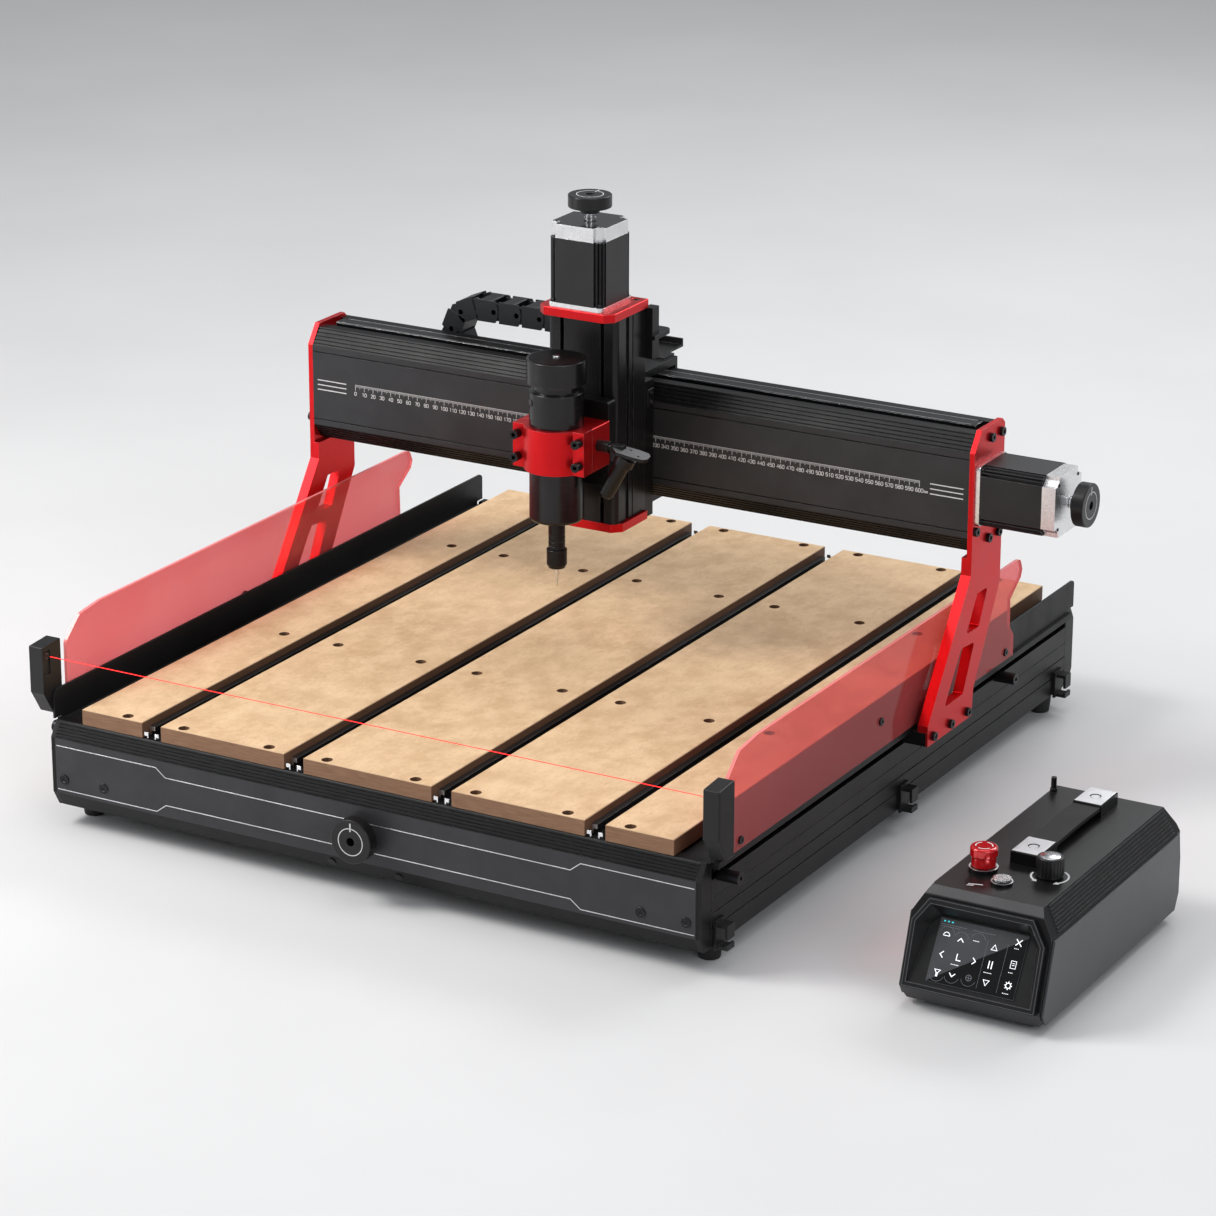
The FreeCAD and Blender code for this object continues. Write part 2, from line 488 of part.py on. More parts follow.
body = fuse(cyl(CAR_X, SP_Y, 131, SP_R, 253 - 131), cyl(CAR_X, SP_Y, 253, 21, 8))
body = fillet(body, 3.5, lambda e: e.BoundBox.ZMax < 131.1 and e.BoundBox.XLength > 40)
body = fillet(body, 0.8, lambda e: abs(e.BoundBox.ZMin - 253) < 0.01 and e.BoundBox.ZLength < 0.01 and e.BoundBox.XLength > 49)
body = cut(body, cyl(CAR_X, SP_Y, 120, 5 + RUN, 160))
save("spindle_body", body)
hood = cyl(CAR_X, SP_Y, 261, 27.3, 22)
hood = fillet(hood, 0.8, lambda e: e.BoundBox.ZMin > 282.9)
hood = cut(hood, cyl(CAR_X, SP_Y, 279.5, 23.5, 5), cyl(CAR_X, SP_Y, 250, 5 + RUN, 50))
hood = fuse(hood, cyl(CAR_X, SP_Y, 279.4, 9, 1.6).cut(cyl(CAR_X, SP_Y, 270, 5 + RUN, 20)))
save("spindle_fan_hood", hood)

shaft = fuse(cyl(CAR_X, SP_Y, 130.9, 5, 152), cyl(CAR_X, SP_Y, 96.5, 7.7, 34.45))
shaft = cut(shaft, cyl(CAR_X, SP_Y, 90, 1.62, 26))
for z in (105.5, 110.0, 114.5):
    shaft = cut(shaft, cyl(CAR_X, SP_Y, z, 9, 1.6).cut(cyl(CAR_X, SP_Y, z - 1, 7.0, 4)))
save("spindle_shaft", shaft)
nut = cut(fuse(cyl(CAR_X, SP_Y, 88, 9.4, 14), cone(CAR_X, SP_Y, 84.5, 7.8, 9.4, 3.5)), cyl(CAR_X, SP_Y, 96.4, 7.74, 10), cyl(CAR_X, SP_Y, 80, 1.62, 20))
save("collet_nut", nut)
bit = fuse(cyl(CAR_X, SP_Y, 83, 1.58, 30), cyl(CAR_X, SP_Y, 78, 2.2, 5.4), cone(CAR_X, SP_Y, 65.5, 0.25, 2.2, 12.5))
save("cutter_bit", bit)

# lamp on a pivot pin at the right side of the clamp, aimed at the cutter
LX, LY, LZ = 58.0, 346.0, 196.0
d = V(-8 - LX, SP_Y - LY, 72 - LZ)
d.normalize()
p0 = V(LX, LY, LZ)
tube = Part.makeCylinder(7.2, 40, p0, d)
tip = Part.makeCone(7.2, 6.0, 3, p0 + d * 40, d)
collar = Part.makeCylinder(9.5, 8, p0 - d * 1, d)
lid = prism([(-17, -3), (-12, -9.5), (4, -10.5), (14, -9), (17, -4), (17, 4), (14, 9), (4, 10.5), (-12, 9.5), (-17, 3)], "z", 0, 3)
lid = cut(lid, cyl(-2, 4.5, -1, 1.2, 6), cyl(8, -4.5, -1, 1.2, 6))
lid.Placement = FreeCAD.Placement(p0 - d * 3.5 + V(3, 0, 0), FreeCAD.Rotation(V(0, 1, 0), 12).multiply(FreeCAD.Rotation(V(0, 0, 1), 12)))
pin = cyl(29.3, LY, 203.5, 5.5, 12, "x")
pin2 = cyl(41, LY, 203.5, 3.4, 8, "x")
lug = box(44, 56, LY - 4, LY + 4, 192, 207)
lamp = fuse(tube, tip, collar, lid, pin, pin2, lug)
save("work_lamp", lamp)

# ------------------------------------------------------------ drag chain
CH_Y0, CH_Y1 = 522.0, 550.0
BX, BZ, RO, RI = -208.0, 228.0, 38.0, 16.0


def link_box(x0, x1, z0, z1):
    return box(x0, x1, CH_Y0, CH_Y1, z0, z1).cut(box(x0 - 1, x1 + 1, CH_Y0 + 3, CH_Y1 - 3, z0 + 3, z1 - 3))


save("drag_chain_upper", link_box(BX, -45.2, BZ + RI, BZ + RO))
save("drag_chain_lower", link_box(BX, 40, BZ - RO, BZ - RI))
bend = Part.makeCylinder(RO, CH_Y1 - CH_Y0, V(BX, CH_Y0, BZ), V(0, 1, 0))
bend = bend.cut(Part.makeCylinder(RI, 60, V(BX, CH_Y0 - 5, BZ), V(0, 1, 0)))
ring = Part.makeCylinder(RO - 3, CH_Y1 - CH_Y0 - 6, V(BX, CH_Y0 + 3, BZ), V(0, 1, 0)).cut(
    Part.makeCylinder(RI + 3, 60, V(BX, CH_Y0 - 5, BZ), V(0, 1, 0)))
bend = bend.cut(ring).cut(box(BX, BX + 60, 500, 570, 150, 300))
save("drag_chain_bend", bend)

# ------------------------------------------------------------ controller
BY0, BY1 = 20.0, 308.0
Z0, Z1 = FLOOR_Z + 6, FLOOR_Z + BOX_H
side = [(32, Z0), (24, -95), (48, -20), (54, Z1), (300, Z1), (308, -30), (308, -92), (300, Z0)]
sec = [(BOX_X - 59, Z0), (BOX_X - 62, Z0 + 8), (BOX_X - 62, -36), (BOX_X - 49, Z1), (BOX_X + 49, Z1), (BOX_X + 62, -36), (BOX_X + 62, Z0 + 8), (BOX_X + 59, Z0)]
case = prism(side, "x", BOX_X - 70, BOX_X + 70).common(prism(sec, "y", 0, 330))
# hollow it: inner space is the same form, 3 mm in
inner_side = [(38, Z0 + 3), (40, -92), (58, -24), (60, Z1 - 3), (296, Z1 - 3), (304, -31), (304, -90), (297, Z0 + 3)]
inner_sec = [(BOX_X - 55, Z0 + 3), (BOX_X - 58, Z0 + 9), (BOX_X - 58, -37), (BOX_X - 47, Z1 - 3), (BOX_X + 47, Z1 - 3), (BOX_X + 58, -37), (BOX_X + 58, Z0 + 9), (BOX_X + 55, Z0 + 3)]
case = case.cut(prism(inner_side, "x", BOX_X - 70, BOX_X + 70).common(prism(inner_sec, "y", 0, 330)))
ES, SB, KN = (533.6, 99.3), (558.2, 81.9), (585.8, 114.8)
case = cut(case, cyl(*ES, Z1 - 5, 4.1, 8), cyl(*SB, Z1 - 5, 4.1, 8), cyl(*KN, Z1 - 5, 3 + RUN, 8))


def funnel(grow, h0, h1):
    """The recess the screen sits in: six-sided, its side and top walls lean in as it goes deeper."""
    n = math.hypot(11, 16)

    def ring(h):
        k = 0.6 * (5 - h) - grow
        s1, u1 = 55 + (16 / n - 1) * k * n / 11, 44 + (11 / n - 1) * k * n / 16
        return [(u, -h, s) for u, s in ((-55 + k, 5 - grow), (55 - k, 5 - grow), (55 - k, s1), (u1, 71 - k), (-u1, 71 - k), (-55 + k, s1))]
    a, b = [V(*p) for p in ring(h0)], [V(*p) for p in ring(h1)]
    n = len(a)
    faces = [Part.Face(Part.makePolygon(a + [a[0]])), Part.Face(Part.makePolygon(b + [b[0]]))]
    for i in range(n):
        j = (i + 1) % n
        faces.append(Part.Face(Part.makePolygon([a[i], a[j], b[j], b[i], a[i]])))
    s = Part.makeSolid(Part.makeShell(faces))
    if s.Volume < 0:
        s.reverse()
    return s


def lean(shape):
    """From the front's own axes (across, inwards, up the slope) to the drawing."""
    shape.Placement = FreeCAD.Placement(V(BOX_X, 24, -95), FreeCAD.Rotation(V(1, 0, 0), -math.degrees(math.atan2(24, 75))))
    return shape


def tilted(h_at_5, h_back, x):
    """Everything in front of the plane the screen lies in; it sinks 0.249 mm for each mm up the slope."""
    h = lambda s: h_at_5 - 0.249 * (s - 5)
    return prism([(-h_back, -5), (-h(-5), -5), (-h(85), 85), (-h_back, 85)], "x", -x, x)


# window for the screen housing, in the leaning front
case = cut(case, lean(funnel(2.6, 6, -16).common(tilted(0.3, 7, 70))))
# rear socket openings
SOCK = ((BOX_X - 42, BOX_X - 14, -92, -70), (BOX_X + 4, BOX_X + 22, -90, -72), (BOX_X + 30, BOX_X + 48, -90, -72))
case = cut(case, *[box(a, b, 300, 312, c, d) for a, b, c, d in SOCK])
ant = fuse(cyl(512.5, 286, Z1, 3.2, 3), cyl(512.5, 286, Z1 + 3, 2.4, 10))
save("controller_case", case, ant)
socks = []
for a, b, c, d in SOCK:
    s = fuse(box(a, b, 296, 308, c, d), box(a - 2, b + 2, 308, 309.5, c - 2, d + 2))
    s = cut(s, box(a + 2.5, b - 2.5, 299, 311, c + 2.5, d - 2.5))
    n = 3 if b - a > 20 else 2
    for i in range(n):
        s = fuse(s, cyl(a + (b - a) * (i + 1) / (n + 1), 298.5, (c + d) / 2, 1.2, 6, "y"))
    socks.append(s)
save("controller_sockets", *socks)
# circuit board on its standoffs, and the power supply beside it
board = fuse(box(BOX_X - 50, BOX_X + 4, 90, 250, -93, -91), *[cyl(BOX_X + u, y, Z0 + 3, 3, 12.1) for u in (-45, -1) for y in (95, 245)])
board = fuse(board, box(BOX_X - 40, BOX_X - 12, 110, 150, -91.1, -80), box(BOX_X - 40, BOX_X - 12, 170, 210, -91.1, -80))
supply = box(BOX_X + 10, BOX_X + 52, 90, 250, Z0 + 3, -65)
save("controller_electronics", board, supply)

pan = []
for sx in (1, -1):
    p = prism([(46, -37.5), (303, -37.5), (306.5, -60), (306.5, -92), (299, -105.5), (33, -105.5), (27, -96)], "x", BOX_X + 62, BOX_X + 64)
    pan.append(p if sx > 0 else mirror_x(p, BOX_X))
save("controller_side_panels", *pan)


frame_outline = [(-59, 0.5), (59, 0.5), (59, 56), (46, 76), (-46, 76), (-59, 56)]
bez = fuse(prism(frame_outline, "y", -5, -0.05), funnel(2.5, 4, -16).common(tilted(0.4, 7, 70)))
bez = cut(bez, funnel(0, 6, -16).common(tilted(3.0, 8, 70)))
save("screen_bezel", lean(bez))
glass = prism([(-39, 8.5), (39, 8.5), (39, 60.3), (-39, 60.3)], "y", -10, 20)
save("touch_screen", lean(glass.common(tilted(3.02, 6, 60)).cut(tilted(4.0, 9, 61))))

es = fuse(cyl(*ES, Z1 + 5, 10.3, 8), cyl(*ES, Z1 + 12.9, 9.3, 2), cyl(*ES, Z1 + 14.4, 11.6, 7.5), cyl(*ES, Z1 - 8, 4 - 0.0, 14))
es = fillet(es, 2.2, lambda e: e.BoundBox.ZMin > Z1 + 21.8)
save("emergency_stop", es)
kn = fuse(cyl(*KN, Z1 + 1, 11, 17), cyl(*KN, Z1 - 8, 3, 10))
kn = fillet(kn, 1.0, lambda e: e.BoundBox.ZMin > Z1 + 17.9)
save("speed_knob", kn)
sb = fuse(cyl(*SB, Z1 + 3.6, 7.6, 1.6), cyl(*SB, Z1 - 6, 4, 10))
ringb = fuse(cyl(*SB, Z1, 9.2, 2.6).cut(cyl(*SB, Z1 - 1, 8.0, 6)), cyl(*ES, Z1, 12.2, 4.0).cut(cyl(*ES, Z1 - 1, 10.7, 8)))
save("safety_button", sb)
hc = []
for y0 in (125.0, 251.0):
    c = box(BOX_X - 13, BOX_X + 13, y0, y0 + 35, Z1, Z1 + 11)
    c = chamfer(c, 0.8, lambda e: e.BoundBox.ZMin > Z1 + 10.9)
    c = c.cut(cyl(BOX_X, y0 + 17.5, Z1 + 9.5, 5, 3)).fuse(cyl(BOX_X, y0 + 17.5, Z1 + 9.4, 4, 1.2))
    hc.append(c)
strap = prism([(160, Z1 + 5.8), (180, Z1 + 6.4), (205.5, Z1 + 6.8), (231, Z1 + 6.4), (251, Z1 + 5.8), (251, Z1 + 9), (231, Z1 + 9.6),
               (205.5, Z1 + 10), (180, Z1 + 9.6), (160, Z1 + 9)], "x", BOX_X - 12, BOX_X + 12)
save("handle_strap", strap)
save("handle_caps", *(hc + [ringb]))
bf = [cyl(BOX_X + sx * 46, y, FLOOR_Z, 7, 6) for sx in (-1, 1) for y in (50.0, 282.0)]
save("controller_feet", *bf)

# ------------------------------------------------------------ base fasteners
fs = []
for y in (BASE_FRONT,):
    for x in (-316.4, -273.5, 273.5, 316.4):
        fs.append(screw_head(x, y, -67.5, 4.6, 1.0, -1, "y"))
    for x in (-34, 34):
        h = Part.makeCylinder(3.6, 1.0, V(x, -4.55, -88.0), V(0, -0.8762, -0.4819))
        fs.append(h)
fs += [mirror_y(s, BOARD_LEN / 2) for s in fs]
for sx in (1, -1):
    for y, z in ((48, -10), (309, 8), (570, -10)):
        h = cyl(GUARD_X0 + GUARD_T, y, z, 3.6, 1.8, "x")
        h = h.cut(cyl(GUARD_X0 + GUARD_T + 0.9, y, z, 1.6, 2, "x"))
        fs.append(h if sx > 0 else mirror_x(h))
save("frame_screws", *fs)
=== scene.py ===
import math
import bpy
import bmesh
from mathutils import Matrix, Vector


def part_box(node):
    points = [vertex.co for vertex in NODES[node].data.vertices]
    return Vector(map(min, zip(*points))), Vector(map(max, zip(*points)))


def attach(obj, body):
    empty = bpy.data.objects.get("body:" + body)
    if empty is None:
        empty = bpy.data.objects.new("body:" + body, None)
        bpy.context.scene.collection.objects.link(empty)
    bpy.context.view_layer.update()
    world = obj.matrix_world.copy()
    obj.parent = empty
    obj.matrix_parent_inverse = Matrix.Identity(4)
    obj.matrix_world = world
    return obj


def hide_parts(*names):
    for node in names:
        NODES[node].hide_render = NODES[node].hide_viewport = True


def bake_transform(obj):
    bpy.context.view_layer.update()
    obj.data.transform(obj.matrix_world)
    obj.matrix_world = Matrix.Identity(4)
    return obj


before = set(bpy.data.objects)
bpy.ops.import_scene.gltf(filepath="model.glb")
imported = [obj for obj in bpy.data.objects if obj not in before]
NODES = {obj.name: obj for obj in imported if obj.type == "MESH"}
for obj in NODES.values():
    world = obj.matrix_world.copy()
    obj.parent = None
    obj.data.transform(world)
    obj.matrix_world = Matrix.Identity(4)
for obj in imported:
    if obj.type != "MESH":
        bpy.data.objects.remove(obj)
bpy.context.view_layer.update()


def P(x, y, z):
    """Drawing millimetres (Y from the boards' front edge) to the row frame in metres."""
    return Vector((x / 1000, (y - 367) / 1000, z / 1000))


# =============================================================== materials
class Mat:
    """A node tree with short helpers. Every pattern is procedural and in object space."""

    def __init__(self, name):
        self.m = bpy.data.materials.new(name)
        self.m.use_nodes = True
        self.t = self.m.node_tree
        self.t.nodes.clear()
        self.out = self.n("ShaderNodeOutputMaterial")
        self.tc = self.n("ShaderNodeTexCoord")
        self.co = self.tc.outputs["Object"]
        self.no = self.tc.outputs["Normal"]

    def n(self, kind, **kw):
        node = self.t.nodes.new(kind)
        for k, v in kw.items():
            setattr(node, k, v)
        return node

    def put(self, socket, value):
        if hasattr(value, "is_output"):
            self.t.links.new(value, socket)
        elif isinstance(value, (tuple, list)) and len(value) == 3 and socket.type == "RGBA":
            socket.default_value = (*value, 1)
        else:
            socket.default_value = value

    def math(self, op, a, b=None, c=None, clamp=False):
        m = self.n("ShaderNodeMath", operation=op, use_clamp=clamp)
        for s, v in zip(m.inputs, (a, b, c)):
            if v is not None:
                self.put(s, v)
        return m.outputs[0]

    def sep(self, v):
        s = self.n("ShaderNodeSeparateXYZ")
        self.put(s.inputs[0], v)
        return s.outputs

    def scaled(self, sx, sy, sz, v=None):
        m = self.n("ShaderNodeMapping")
        self.put(m.inputs["Vector"], v or self.co)
        m.inputs["Scale"].default_value = (sx, sy, sz)
        return m.outputs[0]

    def noise(self, scale=10, detail=4, rough=0.5, vec=None, dist=0.0):
        m = self.n("ShaderNodeTexNoise")
        self.put(m.inputs["Vector"], vec or self.co)
        m.inputs["Scale"].default_value = scale
        m.inputs["Detail"].default_value = detail
        m.inputs["Roughness"].default_value = rough
        m.inputs["Distortion"].default_value = dist
        return m.outputs["Fac"]

    def voronoi(self, scale, vec=None, feature="F1"):
        m = self.n("ShaderNodeTexVoronoi", feature=feature)
        self.put(m.inputs["Vector"], vec or self.co)
        m.inputs["Scale"].default_value = scale
        return m.outputs["Distance"]

    def range(self, v, a, b, c=0.0, d=1.0, smooth=False):
        m = self.n("ShaderNodeMapRange", interpolation_type="SMOOTHSTEP" if smooth else "LINEAR")
        self.put(m.inputs["Value"], v)
        for k, x in zip(("From Min", "From Max", "To Min", "To Max"), (a, b, c, d)):
            m.inputs[k].default_value = x
        return m.outputs[0]

    def mix(self, fac, a, b):
        m = self.n("ShaderNodeMix", data_type="RGBA")
        self.put(m.inputs["Factor"], fac)
        self.put(m.inputs[6], a)
        self.put(m.inputs[7], b)
        return m.outputs[2]

    def mixf(self, fac, a, b):
        m = self.n("ShaderNodeMix", data_type="FLOAT")
        self.put(m.inputs["Factor"], fac)
        self.put(m.inputs[2], a)
        self.put(m.inputs[3], b)
        return m.outputs[0]

    def bump(self, height, strength=0.2, dist=0.0003, normal=None):
        b = self.n("ShaderNodeBump")
        self.put(b.inputs["Height"], height)
        b.inputs["Strength"].default_value = strength
        b.inputs["Distance"].default_value = dist
        if normal is not None:
            self.put(b.inputs["Normal"], normal)
        return b.outputs[0]

    def bevel(self, radius):
        b = self.n("ShaderNodeBevel", samples=3)
        b.inputs["Radius"].default_value = radius
        return b.outputs[0]

    def edge(self, bevel_normal, gain=6.0):
        g = self.n("ShaderNodeNewGeometry")
        d = self.n("ShaderNodeVectorMath", operation="DOT_PRODUCT")
        self.put(d.inputs[0], bevel_normal)
        self.put(d.inputs[1], g.outputs["Normal"])
        return self.math("MULTIPLY", self.math("SUBTRACT", 1.0, d.outputs["Value"]), gain, clamp=True)

    def principled(self, **kw):
        p = self.n("ShaderNodeBsdfPrincipled")
        for k, v in kw.items():
            self.put(p.inputs[k.replace("_", " ")], v)
        self.t.links.new(p.outputs[0], self.out.inputs[0])
        return p


def dust(m):
    """Faint handling marks: low contrast, a few centimetres across."""
    return m.noise(28, 5, 0.6)


def metal(name, base, rough=0.35, grain=(4, 220, 220), strength=0.25, edge=0.25, edge_r=0.0004, metallic=1.0, tone=0.12, zones=(), spec=0.5):
    """Machined or anodised metal: fine lines along one axis, tone drift, and edges brightened partly as wear and partly
    as a painted highlight.
    zones are (mask function, colour, roughness, metallic) laid over the base."""
    m = Mat(name)
    lines = m.noise(9, 6, 0.65, m.scaled(*grain))
    fine = m.noise(900, 2, 0.5)
    drift = dust(m)
    bev = m.bevel(edge_r)
    # edges lightened in patches: partly worn finish, partly a painted highlight where light would catch the rims
    edge_wear_and_highlight = m.math("MULTIPLY", m.edge(bev), m.range(m.noise(140, 4), 0.35, 0.65, 0.35, 1.0))
    colour = m.mix(m.range(drift, 0.3, 0.7, 0.0, 1.0), tuple(c * (1 - tone) for c in base), tuple(min(1, c * (1 + tone)) for c in base))
    colour = m.mix(m.math("MULTIPLY", lines, 0.25), colour, tuple(min(1, c * 1.5 + 0.004) for c in base))
    r = m.math("ADD", m.range(lines, 0.25, 0.75, rough - 0.06, rough + 0.08), m.range(drift, 0.3, 0.7, -0.03, 0.03))
    mt = metallic
    for mask, c, zr, zm in zones:
        k = mask(m)
        varied = m.mix(m.range(drift, 0.3, 0.7, 0, 1), tuple(q * (1 - tone) for q in c), tuple(min(1, q * (1 + tone)) for q in c))
        colour = m.mix(k, colour, varied)
        r = m.mixf(k, r, m.range(lines, 0.25, 0.75, zr - 0.05, zr + 0.06))
        mt = m.mixf(k, mt, zm)
    colour = m.mix(m.math("MULTIPLY", edge_wear_and_highlight, edge), colour, (0.75, 0.75, 0.77))
    height = m.math("ADD", lines, m.math("MULTIPLY", fine, 0.4))
    p = m.principled(Base_Color=colour, Roughness=r, Metallic=mt, Normal=m.bump(height, strength, 0.00005, bev))
    p.inputs["Specular IOR Level"].default_value = spec
    return m.m


def plastic(name, base, rough=0.5, pebble=1400, strength=0.3, edge=0.06, coat=0.0, tone=0.12, spec=0.5, edge_r=0.0004):
    m = Mat(name)
    grain = m.noise(pebble, 2, 0.5)
    cells = m.voronoi(pebble * 0.8)
    drift = dust(m)
    bev = m.bevel(edge_r)
    # edges lightened toward grey: partly wear, partly a painted highlight where light would catch the rims
    edge_wear_and_highlight = m.math("MULTIPLY", m.edge(bev), edge)
    colour = m.mix(m.range(drift, 0.3, 0.7), tuple(c * (1 - tone) for c in base), tuple(min(1, c * (1 + tone)) for c in base))
    colour = m.mix(edge_wear_and_highlight, colour, (0.6, 0.6, 0.62))
    r = m.math("ADD", m.range(drift, 0.3, 0.7, rough - 0.05, rough + 0.07), m.range(grain, 0.3, 0.7, -0.03, 0.03))
    h = m.math("ADD", grain, m.math("MULTIPLY", cells, 0.6))
    p = m.principled(Base_Color=colour, Roughness=r, Metallic=0.0, Normal=m.bump(h, strength, 0.00006, bev))
    p.inputs["Coat Weight"].default_value = coat
    p.inputs["Coat Roughness"].default_value = 0.06
    p.inputs["Specular IOR Level"].default_value = spec
    return m.m


def between(axis, lo, hi, soft=0.0002):
    """Mask: object coordinate on that axis (0, 1, 2) between lo and hi, in metres."""
    def f(m):
        v = m.sep(m.co)[axis]
        return m.math("MULTIPLY", m.range(v, lo - soft, lo + soft), m.range(v, hi - soft, hi + soft, 1.0, 0.0))
    return f


def facing(axis, sign, limit=0.9):
    def f(m):
        v = m.sep(m.no)[axis]
        return m.math("GREATER_THAN", m.math("MULTIPLY", v, sign), limit)
    return f


def both(*fs):
    def f(m):
        k = fs[0](m)
        for g in fs[1:]:
            k = m.math("MULTIPLY", k, g(m))
        return k
    return f


def either(*fs):
    def f(m):
        k = fs[0](m)
        for g in fs[1:]:
            k = m.math("MAXIMUM", k, g(m))
        return k
    return f


def yy(y):
    return (y - 367) / 1000


BLACK, CHAR = (0.010, 0.010, 0.011), (0.045, 0.045, 0.048)
SILVER = (0.80, 0.80, 0.82)

M = {}
M["front"] = metal("anodised_fascia", (0.005, 0.005, 0.0055), 0.44, (2, 260, 260), 0.3, 0.14, metallic=0.3, spec=0.25, zones=(
    (either(both(facing(1, -1), between(2, -0.081, -0.0292)), both(facing(1, 1), between(1, yy(742), yy(743)))), (0.052, 0.052, 0.055), 0.42, 0.4),))
M["beam"] = metal("anodised_beam", (0.005, 0.005, 0.0055), 0.40, (2, 260, 260), 0.3, 0.14, metallic=0.3, spec=0.25, zones=(
    (both(facing(1, -1), between(2, 0.1380, 0.2171), between(1, yy(450.5), yy(451.4))), (0.046, 0.046, 0.049), 0.40, 0.5),))
M["black_alu"] = metal("anodised_black", (0.009, 0.009, 0.0095), 0.4, (220, 3, 220), 0.25, 0.2, metallic=0.4, spec=0.3)
M["column"] = metal("anodised_column", (0.020, 0.020, 0.021), 0.30, (240, 240, 3), 0.3, 0.25, metallic=0.6, spec=0.35)
M["red"] = metal("anodised_red", (0.62, 0.006, 0.010), 0.34, (160, 160, 6), 0.3, 0.30, metallic=0.72, tone=0.08)
M["sheet"] = plastic("powder_coat_black", (0.009, 0.009, 0.0095), 0.5, 1100, 0.5, 0.1, spec=0.3)
M["steel"] = metal("ground_steel", (0.62, 0.63, 0.65), 0.22, (3, 300, 300), 0.2, 0.2)
M["bright"] = metal("bright_silver", SILVER, 0.24, (60, 60, 60), 0.03, 0.3)
M["oxide"] = metal("black_oxide", (0.022, 0.022, 0.024), 0.34, (200, 200, 200), 0.3, 0.35, metallic=0.85)
M["spindle"] = metal("spindle_black", (0.030, 0.030, 0.031), 0.22, (8, 8, 260), 0.08, 0.7, metallic=0.85, edge_r=0.0006)
M["plastic"] = plastic("moulded_black", (0.010, 0.010, 0.0105), 0.42, 1500, 0.3, 0.1, spec=0.35)
M["knob"] = plastic("knob_black", (0.007, 0.007, 0.0075), 0.32, 1200, 0.2, 0.1, spec=0.4)
M["chain"] = plastic("chain_nylon", (0.013, 0.014, 0.0165), 0.48, 1100, 0.35, 0.12, spec=0.35)
M["rubber"] = plastic("rubber", (0.012, 0.012, 0.012), 0.75, 800, 0.6, 0.03)
M["gloss"] = plastic("gloss_black", (0.006, 0.006, 0.007), 0.16, 1600, 0.05, 0.15, coat=0.5, tone=0.05)
M["bezel"] = plastic("bezel_black", (0.006, 0.006, 0.0065), 0.36, 1500, 0.06, 0.10, coat=0.08, spec=0.4)
M["panel"] = plastic("panel_grey", (0.080, 0.082, 0.086), 0.40, 1300, 0.2, 0.08, spec=0.4)
M["case"] = metal("case_black", (0.0075, 0.0075, 0.008), 0.34, (240, 4, 240), 0.08, 0.25, metallic=0.2, spec=0.35, zones=(
    (either(both(between(1, yy(40), yy(55.5)), facing(1, -1, 0.6), between(2, -0.021, -0.0138)), both(facing(1, -1, 0.5), between(2, -0.109, -0.0925))), (0.055, 0.055, 0.058), 0.42, 0.3),))
M["lamp"] = metal("lamp_black", (0.012, 0.012, 0.0125), 0.34, (60, 220, 220), 0.2, 0.3, metallic=0.5, zones=(
    (both(between(2, 0.1955, 0.206), between(0, 0.039, 0.08), facing(2, 1, 0.5)), (0.15, 0.15, 0.155), 0.42, 0.4),))
M["well"] = plastic("cap_well", (0.003, 0.003, 0.0032), 0.45, 1200, 0.2, 0.0, spec=0.15)
M["board_green"] = plastic("circuit_green", (0.01, 0.12, 0.04), 0.45, 900, 0.3, 0.02)


def motor_mat(name, axis, face, sign, lid_painted_reflection):
    """Dark laminated body between a silver front flange and a silver end cap, measured from the mounting face."""
    def band(a, b):
        lo, hi = (face + a, face + b) if sign > 0 else (face - b, face - a)
        return between(axis, lo, hi, 0.00005)
    m = Mat(name)
    silver = either(band(-0.002, 0.0045), band(0.0645, 0.0800))(m)
    # painted reflection: when set, the end cap's outer face, silver on the machine, is coloured near-black, glossy and
    # not metal, standing in for the dark surroundings it reflects
    lid = m.math("MULTIPLY", both(facing(axis, sign, 0.9), band(0.0770, 0.0800))(m), 1.0 if lid_painted_reflection else 0.0)
    bev = m.bevel(0.0004)
    drift = dust(m)
    v = m.sep(m.co)[axis]
    lam = m.math("SINE", m.math("MULTIPLY", v, 2 * math.pi / 0.0010))
    base = m.mix(m.range(drift, 0.3, 0.7), (0.017, 0.017, 0.018), (0.023, 0.023, 0.0245))
    sil = m.mix(m.range(m.noise(60, 5), 0.3, 0.7), (0.78, 0.78, 0.79), (0.88, 0.88, 0.89))
    col = m.mix(silver, base, sil)
    col = m.mix(lid, col, (0.008, 0.008, 0.009))
    # edges lightened toward silver: partly wear, partly a painted highlight where light would catch the rims
    edge_wear_and_highlight = m.math("MULTIPLY", m.edge(bev), 0.25)
    col = m.mix(edge_wear_and_highlight, col, (0.8, 0.8, 0.82))
    fine = m.noise(700, 3, 0.6)
    h = m.mixf(silver, m.math("MULTIPLY", lam, 0.5), fine)
    m.principled(Base_Color=col, Roughness=m.mixf(lid, m.mixf(silver, 0.40, m.range(fine, 0.3, 0.7, 0.24, 0.36)), 0.15),
                 Metallic=m.mixf(lid, m.mixf(silver, 0.3, 1.0), 0.0), Normal=m.bump(h, 0.25, 0.00004, bev))
    return m.m


